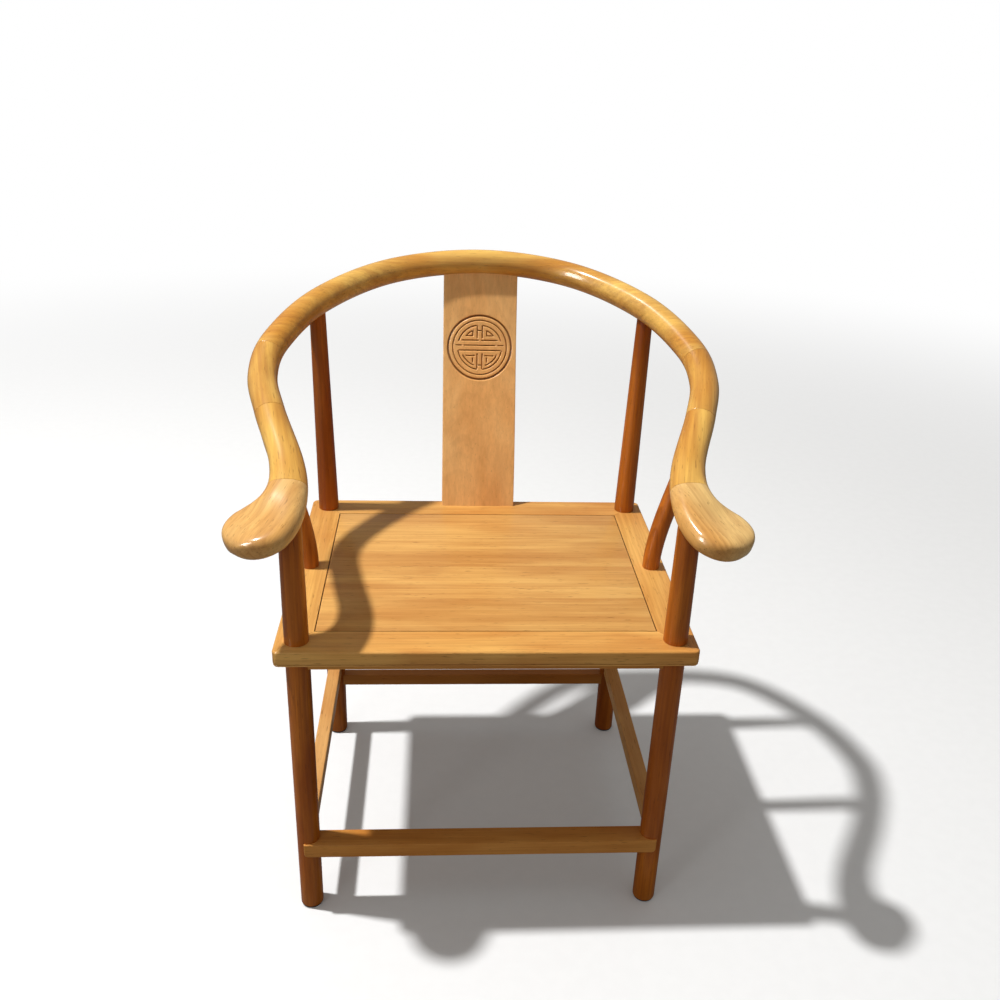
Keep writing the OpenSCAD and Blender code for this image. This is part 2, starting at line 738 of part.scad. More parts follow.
module side_strip(side) {
    centred() color("sienna") mirrored(side) translate([leg_x, (front_leg_y + rear_leg_y) / 2, frame_base - strip_h])
        rotate([0, 0, 90]) strip_bar(rear_leg_y - front_leg_y);
}

module foot_pad(side, y) {
    centred() color("dimgray") translate([side * leg_x, y, 0]) cylinder(h = pad_t, d = pad_d, $fn = round_fn);
}

crest_rail();
elbow_rail(-1);  // left_elbow_rail
elbow_rail(1);  // right_elbow_rail
arm_rail(-1);  // left_arm_rail
arm_rail(1);  // right_arm_rail
hand_rail(-1);  // left_hand_rail
hand_rail(1);  // right_hand_rail
rail_lock_pins();
back_splat();
front_leg(-1);  // left_front_leg
front_leg(1);  // right_front_leg
rear_leg(-1);  // left_rear_leg
rear_leg(1);  // right_rear_leg
side_post(-1);  // left_side_post
side_post(1);  // right_side_post
centred() color("peru") long_member(-1);  // frame_front
centred() color("peru") long_member(1);  // frame_back
centred() color("peru") side_member(-1);  // frame_left
centred() color("peru") side_member(1);  // frame_right
seat_panel();
seat_batten(-1);  // left_batten
seat_batten(1);  // right_batten
cross_strip(-1);  // front_strip
cross_strip(1);  // back_strip
side_strip(-1);  // left_strip
side_strip(1);  // right_strip
footrest();
rear_stretcher();
side_stretcher(-1);  // left_stretcher
side_stretcher(1);  // right_stretcher
foot_pad(-1, front_leg_y);  // left_front_pad
foot_pad(1, front_leg_y);  // right_front_pad
foot_pad(-1, rear_leg_y);  // left_rear_pad
foot_pad(1, rear_leg_y);  // right_rear_pad
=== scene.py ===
import math

import bpy
from mathutils import Matrix, Vector


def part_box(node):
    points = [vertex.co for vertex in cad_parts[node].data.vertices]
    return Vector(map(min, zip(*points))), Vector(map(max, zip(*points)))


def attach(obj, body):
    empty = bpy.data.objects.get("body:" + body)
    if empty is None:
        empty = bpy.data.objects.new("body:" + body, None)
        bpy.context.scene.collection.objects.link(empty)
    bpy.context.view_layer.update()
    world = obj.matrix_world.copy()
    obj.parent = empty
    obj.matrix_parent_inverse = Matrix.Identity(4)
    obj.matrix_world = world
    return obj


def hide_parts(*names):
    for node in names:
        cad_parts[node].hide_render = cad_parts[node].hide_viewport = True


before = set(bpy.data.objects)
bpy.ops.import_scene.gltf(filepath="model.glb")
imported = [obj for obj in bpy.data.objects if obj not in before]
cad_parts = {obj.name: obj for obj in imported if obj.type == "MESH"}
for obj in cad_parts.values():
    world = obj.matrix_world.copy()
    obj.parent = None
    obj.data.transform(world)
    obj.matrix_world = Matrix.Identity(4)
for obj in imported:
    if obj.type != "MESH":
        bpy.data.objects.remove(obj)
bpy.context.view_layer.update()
mm = 0.001


# The origin is under the middle of the whole chair, and the shapes below are drawn about the seat's middle
seatMiddle = Vector((0, (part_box("frame_front")[0].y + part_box("frame_back")[1].y) / 2, 0))


def lowOf(node):
    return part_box(node)[0] - seatMiddle


def highOf(node):
    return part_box(node)[1] - seatMiddle


def middleOf(node):
    return (lowOf(node) + highOf(node)) / 2


# The chair's main lines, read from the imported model
chair = {
    "seatTop": highOf("frame_front").z,
    "frameBase": lowOf("frame_front").z,
    "halfW": highOf("frame_right").x,
    "halfD": highOf("frame_back").y,
    "legX": middleOf("right_front_pad").x,
    "frontLegY": middleOf("right_front_pad").y,
    "rearLegY": middleOf("right_rear_pad").y,
    "padTop": highOf("right_front_pad").z,
    "legR": 17 * mm,
    "fit": 0.1 * mm,
    "ease": 0.05 * mm,  # air between two faces that meet
}
bothSides = ((-1, "left"), (1, "right"))
print("frame loaded:", len(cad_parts), "nodes")


# Mesh helpers
def meshObject(name, points, faces, sharpAngle=32):
    mesh = bpy.data.meshes.new(name)
    mesh.from_pydata([tuple(Vector(p) + seatMiddle) for p in points], [], faces)
    mesh.validate()
    mesh.update()
    piece = bpy.data.objects.new(name, mesh)
    bpy.context.scene.collection.objects.link(piece)
    mesh.shade_smooth()
    mesh.set_sharp_from_angle(angle=math.radians(sharpAngle))
    return piece


def loftParts(rings, start=0):
    # rings all have the same number of points and run anticlockwise seen from the last one
    count = len(rings[0])
    points = [p for ring in rings for p in ring]
    faces = []
    for i in range(len(rings) - 1):
        a = start + i * count
        b = a + count
        for j in range(count):
            k = (j + 1) % count
            faces.append((a + j, a + k, b + k, b + j))
    last = start + (len(rings) - 1) * count
    faces.append(tuple(start + j for j in reversed(range(count))))
    faces.append(tuple(last + j for j in range(count)))
    return points, faces


def loftObject(name, loftList, sharpAngle=32):
    points = []
    faces = []
    for rings in loftList:
        morePoints, moreFaces = loftParts(rings, len(points))
        points += morePoints
        faces += moreFaces
    return meshObject(name, points, faces, sharpAngle)


def mirrorX(rings):
    return [[Vector((-p.x, p.y, p.z)) for p in reversed(ring)] for ring in rings]


def quarterTurns(count):
    return [math.pi / 2 * k / count for k in range(count + 1)]


def fullTurns(count):
    return [2 * math.pi * k / count for k in range(count)]


def smoothStep(x):
    x = min(max(x, 0.0), 1.0)
    return x * x * (3 - 2 * x)


# Every wooden piece carries its place in the plank that it was sawn from: x along the grain, y and z across it
axesOf = {
    "x": (Vector((1, 0, 0)), Vector((0, 1, 0))),
    "y": (Vector((0, 1, 0)), Vector((1, 0, 0))),
    "z": (Vector((0, 0, 1)), Vector((1, 0, 0))),
}


def setPlank(piece, along, across, origin, plank, stainsAndShade=None):
    # plank is how far along the log, across it and below its heart the piece was sawn, and how dark it is from 0 to 1
    # the last argument is 0 on clean wood; up to 1 it marks a dark joint line at the rail's laps, and is painted
    # shade on the walls of the seam round the panel and in the sunk line round the frame
    *shift, tone = plank
    along = along.normalized()
    across = (across - along * across.dot(along)).normalized()
    axes = (along, across, along.cross(across))
    mesh = piece.data
    places = []
    for vertex in mesh.vertices:
        p = vertex.co - seatMiddle - origin
        places += [p.dot(axis) + far for axis, far in zip(axes, shift)]
    mesh.attributes.new("plank", "FLOAT_VECTOR", "POINT").data.foreach_set("vector", places)
    setPoints(mesh, "tone", [tone] * len(mesh.vertices))
    setPoints(mesh, "stainAndShade", stainsAndShade or [0.0] * len(mesh.vertices))


def setPoints(mesh, name, values):
    mesh.attributes.new(name, "FLOAT", "POINT").data.foreach_set("value", values)


def finishPiece(piece, material, node):
    piece.data.materials.append(material)
    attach(piece, "root")
    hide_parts(node)


# Wood finishes: varnished honey wood with soft rings, streaks and clouds of tone, fine fibres and short dark pores
woodLook = {
    "ringsPerMetre": 105,
    "ringRise": (0.25, 0.85),  # share of a ring over which its late wood darkens, and then falls off again
    "ringFall": (0.85, 1.0),
    "bend": 0.07,  # metres by which the rings wander
    # Repeats per metre along and across the grain, detail, roughness and distortion, then the range that shows
    "wander": ((1.4, 8, 8), 2, 0.55, 0, None),
    "patches": ((6, 22, 22), 2, 0.55, 0, (0.4, 0.66)),
    "streaks": ((1.8, 60, 60), 4, 0.6, 0, (0.32, 0.68)),
    "fibres": ((7, 300, 300), 4, 0.65, 0, (0.3, 0.72)),
    "pores": ((48, 520, 520), 2, 0.5, 0, (0.62, 0.74)),
    "clouds": ((4, 13, 13), 3, 0.5, 0.4, (0.32, 0.68)),
    "groove": (0.2, 1.0),  # how deep the carving is where its painted shade starts and where it is full
    "bump": 0.1,
    "bumpDepth": 0.25 * mm,
}


def newMaterial(name):
    material = bpy.data.materials.new(name)
    material.use_nodes = True
    return material, material.node_tree


def addNode(tree, kind, **values):
    node = tree.nodes.new(kind)
    for key, value in values.items():
        setattr(node, key, value)
    return node


def mathNode(tree, operation, *values):
    node = addNode(tree, "ShaderNodeMath", operation=operation)
    for socket, value in zip(node.inputs, values):
        if isinstance(value, (int, float)):
            socket.default_value = value
        else:
            tree.links.new(value, socket)
    return node.outputs[0]


def mixColour(tree, factor, a, b):
    node = addNode(tree, "ShaderNodeMix", data_type="RGBA")
    for socket, value in ((node.inputs[0], factor), (node.inputs[6], a), (node.inputs[7], b)):
        if isinstance(value, (int, float)):
            socket.default_value = value
        elif isinstance(value, tuple):
            socket.default_value = (*value, 1)
        else:
            tree.links.new(value, socket)
    return node.outputs[2]


def scaled(tree, vector, scale, turn=0.0):
    node = addNode(tree, "ShaderNodeMapping")
    node.inputs["Scale"].default_value = scale
    node.inputs["Rotation"].default_value = (0, 0, math.radians(turn))
    tree.links.new(vector, node.inputs["Vector"])
    return node.outputs[0]


def noiseNode(tree, vector, scale, detail=3, roughness=0.55, distortion=0.0):
    node = addNode(tree, "ShaderNodeTexNoise")
    node.inputs["Scale"].default_value = scale
    node.inputs["Detail"].default_value = detail
    node.inputs["Roughness"].default_value = roughness
    node.inputs["Distortion"].default_value = distortion
    tree.links.new(vector, node.inputs["Vector"])
    return node.outputs[0]


def rangeNode(tree, value, low, high, toLow=0.0, toHigh=1.0):
    node = addNode(tree, "ShaderNodeMapRange", interpolation_type="SMOOTHSTEP")
    node.inputs["From Min"].default_value = low
    node.inputs["From Max"].default_value = high
    node.inputs["To Min"].default_value = toLow
    node.inputs["To Max"].default_value = toHigh
    tree.links.new(value, node.inputs["Value"])
    return node.outputs[0]


def pointValue(tree, name, output="Fac"):
    return addNode(tree, "ShaderNodeAttribute", attribute_name=name).outputs[output]


def objectPlace(tree):
    return addNode(tree, "ShaderNodeTexCoord").outputs["Object"]


def addBump(tree, height, look):
    bump = addNode(tree, "ShaderNodeBump")
    bump.inputs["Strength"].default_value = look["bump"]
    bump.inputs["Distance"].default_value = look["bumpDepth"]
    tree.links.new(height, bump.inputs["Height"])
    tree.links.new(bump.outputs[0], tree.nodes["Principled BSDF"].inputs["Normal"])


def grainNoise(tree, plank, key):
    scale, detail, roughness, distortion, shown = woodLook[key]
    noise = noiseNode(tree, scaled(tree, plank, scale), 1, detail, roughness, distortion)
    return rangeNode(tree, noise, *shown) if shown else noise


def linear(rgb):
    # Screen colour from 0 to 255, as a picker shows it, to the shader's own scale
    return tuple(c / 255 / 12.92 if c < 11 else ((c / 255 + 0.055) / 1.055) ** 2.4 for c in rgb)


def woodFinish(name, look):
    material, tree = newMaterial(name)
    shader = tree.nodes["Principled BSDF"]
    plank = pointValue(tree, "plank", "Vector")
    # Growth rings: distance from the heart of the log, bent by a slow wander along the grain, in patches
    across = addNode(tree, "ShaderNodeSeparateXYZ")
    tree.links.new(plank, across.inputs[0])
    y2 = mathNode(tree, "POWER", across.outputs[1], 2.0)
    z2 = mathNode(tree, "POWER", across.outputs[2], 2.0)
    reach = mathNode(tree, "SQRT", mathNode(tree, "ADD", y2, z2))
    bend = mathNode(tree, "MULTIPLY", grainNoise(tree, plank, "wander"), woodLook["bend"])
    rings = mathNode(tree, "MULTIPLY", mathNode(tree, "ADD", reach, bend), woodLook["ringsPerMetre"])
    rings = mathNode(tree, "FRACT", rings)
    ringRise = rangeNode(tree, rings, *woodLook["ringRise"])
    ringFall = rangeNode(tree, rings, *woodLook["ringFall"], 1.0, 0.0)
    late = mathNode(tree, "MULTIPLY", ringRise, ringFall)
    late = mathNode(tree, "MULTIPLY", late, grainNoise(tree, plank, "patches"))
    streak = grainNoise(tree, plank, "streaks")
    fibre = grainNoise(tree, plank, "fibres")
    pore = grainNoise(tree, plank, "pores")
    cloud = grainNoise(tree, plank, "clouds")
    # From the middle and light shades down to the dark of the rings, streaks, fibres and pores, then dark joint lines
    # and painted shade in the seams, sunk lines and carved grooves
    dark = linear(look["dark"])
    poreDark = linear(look["pore"])
    base = mixColour(tree, cloud, linear(look["middle"]), linear(look["light"]))
    for share, amount in ((late, "ringShare"), (streak, "streakShare"), (fibre, "fibreShare")):
        base = mixColour(tree, mathNode(tree, "MULTIPLY", share, look[amount]), base, dark)
    base = mixColour(tree, mathNode(tree, "MULTIPLY", pore, look["poreShare"]), base, poreDark)
    base = mixColour(tree, pointValue(tree, "tone"), base, dark)
    # Dark joint lines at the rail's laps, and painted shade in the seams and sunk lines
    base = mixColour(tree, pointValue(tree, "stainAndShade"), base, poreDark)
    # Painted shade in the carved grooves of the roundel, deepest at their bottoms
    if "groove" in look:
        groove = rangeNode(tree, pointValue(tree, "carved"), *woodLook["groove"])
        base = mixColour(tree, mathNode(tree, "MULTIPLY", groove, look["grooveShadeShare"]), base, linear(look["groove"]))
    tree.links.new(base, shader.inputs["Base Color"])
    tree.links.new(rangeNode(tree, fibre, 0, 1, *look["gloss"]), shader.inputs["Roughness"])
    shader.inputs["Specular IOR Level"].default_value = look["sheen"]
    shader.inputs["Coat Weight"].default_value = look["varnish"]
    shader.inputs["Coat Roughness"].default_value = look["varnishRoughness"]
    addBump(tree, mathNode(tree, "SUBTRACT", fibre, pore), woodLook)
    return material


honey = {
    "light": (224, 172, 98), "middle": (206, 146, 74), "dark": (152, 84, 30), "pore": (92, 48, 14),
    "ringShare": 0.12, "streakShare": 0.26, "fibreShare": 0.24, "poreShare": 0.45, "gloss": (0.34, 0.44),
    "sheen": 0.1, "varnish": 0.12, "varnishRoughness": 0.17,
}
railWood = woodFinish("railWood", {**honey, "light": (248, 202, 104), "middle": (218, 154, 60), "ringShare": 0.24,
    "streakShare": 0.36, "varnish": 0.6})
# The hands are painted paler than the rail, a painted sheen standing in for the glossy reflection on their flat tops
handWood = woodFinish("handWood", {**honey, "light": (250, 210, 134), "middle": (222, 162, 84), "ringShare": 0.18,
    "varnish": 0.6})
# The splat is painted paler than the other woods, which paints light onto its front face; its groove colour is
# painted shade in the carved grooves
lightPaintedSplatWood = woodFinish("lightPaintedSplatWood", {**honey, "light": (252, 200, 130), "middle": (244, 182, 110), "ringShare": 0.1,
    "streakShare": 0.16, "fibreShare": 0.14, "poreShare": 0.2, "groove": (96, 44, 12), "grooveShadeShare": 0.85})
# The posts and legs are painted darker and redder than the rest of the same wood: painted shade
shadePaintedPostWood = woodFinish("shadePaintedPostWood", {**honey, "light": (214, 126, 38), "middle": (172, 88, 18), "dark": (112, 48, 8),
    "ringShare": 0.5, "streakShare": 0.45, "sheen": 0.08, "varnish": 0.35})
frameWood = woodFinish("frameWood", {**honey, "light": (236, 182, 100), "middle": (212, 148, 74), "ringShare": 0.2,
    "varnish": 0.2})
panelWood = woodFinish("panelWood", {**honey, "light": (230, 180, 104), "middle": (210, 154, 84), "ringShare": 0.14})
stretcherWood = woodFinish("stretcherWood", {**honey, "light": (220, 156, 80), "middle": (196, 126, 54),
    "sheen": 0.06, "varnish": 0.1})
# The side stretchers are painted paler than the other stretchers: a painted-light copy of the same wood
lightPaintedSideStretcherWood = woodFinish("lightPaintedSideStretcherWood", {**honey, "light": (226, 174, 108), "middle": (204, 144, 80),
    "sheen": 0.06, "varnish": 0.1})
print("finishes mixed")


# The handrail: one swept line from the middle of the back out to each hand, in seven lapped lengths
rail = {
    "crestY": chair["halfD"] + 106 * mm,
    "crestZ": chair["seatTop"] + 405 * mm,
    "handZ": chair["seatTop"] + 174 * mm,
    "halfSpan": chair["halfW"] + 38 * mm,
    "width": 42.5 * mm,
    "thickness": 40.5 * mm,
    "handWidth": 98 * mm,
    "handThickness": 35.5 * mm,
    "noseLength": 46 * mm,
    # Shares of the half span, the depth and the height, then offsets from the front post in millimetres
    "points": [(0, 0, 1), (0.46, 0.038, 0.938), (0.793, 0.226, 0.821), (0.968, 0.411, 0.652), (1, 0.54, 0.512),
        (0.938, 0.679, 0.396)],
    "handOffsets": [(13, 88.5, 50), (9, 28, 24), (35, -15, 0), (91, -62, -10)],
    # Width and thickness of the section there, how square it is across and upwards, and across on the underside
    "sections": [(1, 1, 2, 2), (1, 1.015, 2, 2), (1.01, 1.025, 2, 2), (1.035, 1.015, 2, 2), (1.015, 0.99, 2, 2),
        (1.01, 0.95, 2, 2), (1.09, 0.9, 2.1, 2)],
    "handSections": [(0.62, 1.03, 3, 2.1, 3), (1, 1, 6, 2.2, 4), (1, 1, 6, 2.2, 4)],
    # Places along the line are counted in its points: 0 in the middle of the back, and 8 where the nose begins
    "joints": [3.3, 5.05, 6.66],
    "lap": 0.5,
    "rearPostAt": 2.07,
    "sidePostAt": 4.47,
    "seam": 0.2 * mm,
    "seamShare": 0.0025,
    "seamChamfer": 0.25 * mm,
    "seamStainAndShade": 0.2,
    "sides": 80,
    "ringsPerSpan": 14,
    "noseStep": 6,  # degrees between the rings of the rounded nose
    "noseTip": 0.9997,  # share of the nose's length at its last, tiny ring
    "probe": 0.01,  # how far along the line its direction is read
    "sharpAngle": 30,
    "planks": {
        "crest_rail": (0.3, 0.05, 0.06, 0.08),
        "left_elbow_rail": (1.3, 0.07, 0.03, 0.08),
        "left_arm_rail": (2.5, 0.02, 0.08, 0),
        "left_hand_rail": (3.9, 0.04, 0.05, 0.04),
        "right_elbow_rail": (2.0, 0.07, 0.03, 0.08),
        "right_arm_rail": (3.2, 0.02, 0.08, 0),
        "right_hand_rail": (4.6, 0.04, 0.05, 0.04),
    },
}
railEnd = len(rail["points"]) + len(rail["handOffsets"]) - 2
halfRing = rail["sides"] // 2
lapAngle = math.asin(rail["seam"] / rail["thickness"])
ringAngles = [lapAngle + j * (math.pi - 2 * lapAngle) / (halfRing - 1) for j in range(halfRing)]
ringAngles += [math.pi + angle for angle in ringAngles]


def railKeys():
    depth = rail["crestY"] - chair["frontLegY"]
    drop = rail["crestZ"] - rail["handZ"]
    post = (chair["legX"], chair["frontLegY"], rail["handZ"])
    line = [(out * rail["halfSpan"], rail["crestY"] - forward * depth, rail["handZ"] + up * drop)
        for out, forward, up in rail["points"]]
    line += [tuple(p + o * mm for p, o in zip(post, offset)) for offset in rail["handOffsets"]]
    sections = [(wide * rail["width"] / 2, thick * rail["thickness"] / 2, across, upwards, across)
        for wide, thick, across, upwards in rail["sections"]]
    sections += [(wide * rail["handWidth"] / 2, thick * rail["handThickness"] / 2, *squareness)
        for wide, thick, *squareness in rail["handSections"]]
    keys = [place + section for place, section in zip(line, sections)]
    return [(-keys[1][0],) + keys[1][1:]] + keys


railLine = railKeys()


def railAt(u):
    # A smooth curve through the points, for the place and the section alike
    i = min(int(u), railEnd - 1)
    t = u - i
    values = []
    for a, b, c, d in zip(*railLine[i:i + 4]):
        bend = (2 * a - 5 * b + 4 * c - d) * t * t + (3 * b - a - 3 * c + d) * t ** 3
        values.append(0.5 * (2 * b + (c - a) * t + bend))
    return values


def railPoint(u):
    return Vector(railAt(u)[:3])


def railTangent(u):
    probe = rail["probe"]
    if u < probe:
        return Vector((1, 0, 0))
    if u > railEnd - probe:
        return (Vector(railLine[railEnd + 2][:3]) - Vector(railLine[railEnd][:3])).normalized()
    return (railPoint(u + probe) - railPoint(u - probe)).normalized()


def signedPower(x, e):
    return math.copysign(abs(x) ** e, x)


def railRing(u, kind=0, insetTop=0.0, insetBase=0.0):
    # kind 0 is the whole section, 1 keeps its upper half and 2 its lower half
    key = railAt(min(abs(u), railEnd))
    tangent = railTangent(min(abs(u), railEnd))
    side = tangent.cross(Vector((0, 0, 1))).normalized()
    up = side.cross(tangent)
    nose = math.asin(abs(u) - railEnd) if abs(u) > railEnd else 0
    centre = Vector(key[:3]) + tangent * rail["noseLength"] * math.sin(nose)
    w = key[3] * math.cos(nose)
    ring = []
    for j, angle in enumerate(ringAngles):
        upper = j < halfRing
        inset = insetTop if upper else insetBase
        squareness = key[5] if upper else key[7]
        h = key[4] * (1 - math.sin(nose) ** squareness) ** (1 / key[6])
        x = (w - inset) * signedPower(math.cos(angle), 2 / squareness)
        z = (h - inset) * signedPower(math.sin(angle), 2 / key[6])
        if (kind == 1 and not upper) or (kind == 2 and upper):
            z = rail["seam"] / 2 * (1 if kind == 1 else -1)
        p = centre + side * x + up * z
        if u < 0:
            p.x = -p.x
        ring.append(p)
    return ring


def spanStations(a, b, kind):
    # The sections between two places: where, which part of the section, and how far its top and base are set in
    count = max(1, math.ceil((b - a) * rail["ringsPerSpan"]))
    step = (b - a) / count
    return [(a + step * i, kind, 0, 0) for i in range(1, count)]


def seamStep(u):
    # The share of a span that is as long as the seam's chamfer
    half = rail["probe"] / 2
    return rail["seamChamfer"] / (railPoint(u + half) - railPoint(u - half)).length * rail["probe"]


def lapStations(a, b):
    # A length whose rear end is an upper lap and whose front end is a lower lap
    inset = rail["seamChamfer"]
    lap = rail["lap"]
    stations = [(a, 1, inset, 0), (a + seamStep(a), 1, 0, 0)]
    stations += spanStations(a, a + lap, 1) + [(a + lap, 1, 0, 0)]
    stations += [(a + lap, 0, 0, inset), (a + lap + seamStep(a + lap), 0, 0, 0)]
    if b is None:
        stations += spanStations(a + lap, railEnd, 0) + [(railEnd, 0, 0, 0)]
        turns = range(rail["noseStep"], 90, rail["noseStep"])
        stations += [(railEnd + math.sin(math.radians(turn)), 0, 0, 0) for turn in turns]
        return stations + [(railEnd + rail["noseTip"], 0, 0, 0)]
    return stations + spanStations(a + lap, b, 0) + frontLap(b)


def frontLap(b):
    inset = rail["seamChamfer"]
    end = b + rail["lap"]
    stations = [(b - seamStep(b), 0, 0, 0), (b, 0, inset, 0), (b, 2, 0, 0)] + spanStations(b, end, 2)
    return stations + [(end - seamStep(end), 2, 0, 0), (end, 2, 0, inset)]


def railLength(name, stations, node, side=1):
    rings = [railRing(*station) for station in stations]
    if side < 0:
        rings = mirrorX(rings)
    stainsAndShade = []
    for _, _, top, base in stations:
        for inset in (top, base) if side > 0 else (base, top):
            stainsAndShade += [rail["seamStainAndShade"] if inset else 0.0] * halfRing
    piece = loftObject(name, [rings], rail["sharpAngle"])
    first = railPoint(abs(stations[0][0]))
    last = railPoint(min(abs(stations[-1][0]), railEnd))
    middle = railPoint(min(abs(stations[0][0] + stations[-1][0]) / 2, railEnd))
    if stations[0][0] < 0:
        first.x = -first.x
    for p in (first, last, middle):
        p.x *= side
    chord = last - first
    bow = middle - (first + last) / 2
    across = bow if bow.length > 1 * mm else Vector((0, 1, 0))
    setPlank(piece, chord, across, first, rail["planks"][node], stainsAndShade)
    finishPiece(piece, handWood if "hand" in node else railWood, node)


def buildRail():
    near, middleJoint, far = rail["joints"]
    gap = rail["seamShare"]
    rightHalf = spanStations(0, near, 0) + frontLap(near)
    leftHalf = [(-u, kind, top, base) for u, kind, top, base in reversed(rightHalf)]
    railLength("crestRail", leftHalf + [(0, 0, 0, 0)] + rightHalf, "crest_rail")
    for side, word in bothSides:
        railLength(word + "ElbowRail", lapStations(near + gap, middleJoint), word + "_elbow_rail", side)
        railLength(word + "ArmRail", lapStations(middleJoint + gap, far), word + "_arm_rail", side)
        railLength(word + "HandRail", lapStations(far + gap, None), word + "_hand_rail", side)
    print("handrail swept in seven lengths")


buildRail()


# Legs with the posts above the seat, each turned from one piece
leg = {
    "sides": 64,
    "neckR": 13 * mm,
    "footArris": 1.5 * mm,
    "shoulderArris": 0.5 * mm,
    "frontTopR": 15.5 * mm,
    "frontBury": 10 * mm,
    "rearFootR": 17 * mm,
    "rearTopR": 12.75 * mm,
    "rearShort": 8 * mm,
    "arrisSteps": 4,
    "shaftRings": 8,
    "postRings": 24,
    "planks": {
        "left_front_leg": (-0.5, 0.035, 0.03, 0.05),
        "right_front_leg": (1.3, 0.035, 0.03, 0.05),
        "left_rear_leg": (1.7, 0.02, 0.045, 0.12),
        "right_rear_leg": (3.1, 0.02, 0.045, 0.12),
    },
}


def roundRing(centre, radius):
    return [centre + Vector((radius * math.cos(t), radius * math.sin(t), 0)) for t in fullTurns(leg["sides"])]


def arrisSteps(radius, size, z, up=1):
    # Radii and heights of a rounded end edge, from the end face inwards
    turns = quarterTurns(leg["arrisSteps"])
    return [(radius - size * (1 - math.sin(t)), z + up * size * (1 - math.cos(t))) for t in turns]


def shaftRings(x, y):
    shoulder = chair["frameBase"] - chair["ease"]
    height = chair["frameBase"] - chair["padTop"]
    count = leg["shaftRings"]
    low = arrisSteps(chair["legR"], leg["footArris"], chair["padTop"])
    steps = [(chair["legR"], chair["padTop"] + height * k / count) for k in range(1, count)]
    top = list(reversed(arrisSteps(chair["legR"], leg["shoulderArris"], shoulder, -1)))
    neck = [(leg["neckR"], shoulder), (leg["neckR"], chair["seatTop"] + chair["ease"])]
    return [roundRing(Vector((x, y, z)), r) for r, z in low + steps + top + neck]


def postRings(foot, head, footR, headR):
    rings = []
    for r, z in arrisSteps(footR, leg["shoulderArris"], foot.z + chair["ease"]):
        rings.append(roundRing(Vector((foot.x, foot.y, z)), r))
    for k in range(1, leg["postRings"] + 1):
        t = k / leg["postRings"]
        rings.append(roundRing(foot.lerp(head, t), footR + (headR - footR) * t))
    return rings


def turnedLeg(name, rings, foot, node):
    piece = loftObject(name, [rings])
    setPlank(piece, *axesOf["z"], foot, leg["planks"][node])
    finishPiece(piece, shadePaintedPostWood, node)


def buildLegs():
    for side, word in bothSides:
        x = side * chair["legX"]
        foot = Vector((x, chair["frontLegY"], chair["seatTop"]))
        head = Vector((x, chair["frontLegY"], rail["handZ"] + leg["frontBury"]))
        rings = shaftRings(x, chair["frontLegY"]) + postRings(foot, head, chair["legR"], leg["frontTopR"])
        turnedLeg(word + "FrontLeg", rings, foot, word + "_front_leg")
        foot = Vector((x, chair["rearLegY"], chair["seatTop"]))
        goal = railPoint(rail["rearPostAt"])
        goal.x *= side
        head = goal - (goal - foot).normalized() * leg["rearShort"]
        rings = shaftRings(x, chair["rearLegY"]) + postRings(foot, head, leg["rearFootR"], leg["rearTopR"])
        turnedLeg(word + "RearLeg", rings, foot, word + "_rear_leg")
    print("legs turned")


buildLegs()


# The side posts swing out from the seat frame to the rail in one S curve
sidePost = {
    "inset": 23 * mm,
    "footR": 13.5 * mm,
    "headR": 14.75 * mm,
    "short": 8 * mm,
    "tenonR": 7.5 * mm,
    "tenonLength": 18 * mm,
    "rings": 48,
    "planks": {
        "left_side_post": (4.5, 0.02, 0.03, 0.1),
        "right_side_post": (5.7, 0.02, 0.03, 0.1),
    },
}


def buildSidePosts():
    head = railPoint(rail["sidePostAt"])
    footX = chair["halfW"] - sidePost["inset"]
    swing = Vector((head.x - footX, head.y, 0))
    height = head.z - sidePost["short"] - chair["seatTop"]
    way = swing.normalized()
    sideways = Vector((-way.y, way.x, 0))
    rings = []
    for z in (-sidePost["tenonLength"], chair["ease"]):
        rings.append(roundRing(Vector((footX, 0, chair["seatTop"] + z)), sidePost["tenonR"]))
    for r, z in arrisSteps(sidePost["footR"], leg["shoulderArris"], chair["seatTop"] + chair["ease"]):
        rings.append(roundRing(Vector((footX, 0, z)), r))
    for k in range(1, sidePost["rings"] + 1):
        t = k / sidePost["rings"]
        lean = math.atan(swing.length / height * 6 * t * (1 - t))
        r = sidePost["footR"] + (sidePost["headR"] - sidePost["footR"]) * t
        centre = Vector((footX, 0, chair["seatTop"] + height * t)) + way * swing.length * (3 - 2 * t) * t * t
        ring = []
        for turn in fullTurns(leg["sides"]):
            a = turn - math.atan2(way.y, way.x)
            tilt = way * math.cos(lean) - Vector((0, 0, math.sin(lean)))
            ring.append(centre + tilt * r * math.cos(a) + sideways * r * math.sin(a))
        rings.append(ring)
    for side, word in bothSides:
        node = word + "_side_post"
        piece = loftObject(word + "SidePost", [rings if side > 0 else mirrorX(rings)])
        setPlank(piece, *axesOf["z"], Vector((side * footX, 0, chair["seatTop"])), sidePost["planks"][node])
        finishPiece(piece, shadePaintedPostWood, node)
    print("side posts bent")


buildSidePosts()


# The back splat, with the sunk roundel cut into its front
splat = {
    "width": 127 * mm,
    "thickness": 14 * mm,
    "inset": 14.5 * mm,
    "tongue": 8 * mm,
    "setback": 3 * mm,
    "bow": 5 * mm,
    "arris": 1.2 * mm,
    "roundelRise": 265.5 * mm,
    "roundelR": 57.75 * mm,
    "carving": 2.4 * mm,
    "fineStep": 0.6 * mm,
    "columnStep": 2 * mm,
    "rowStep": 6 * mm,
    "arcSteps": 4,
    "sharpAngle": 50,
    "plank": (7.3, 0.02, 0.09, 0),
}
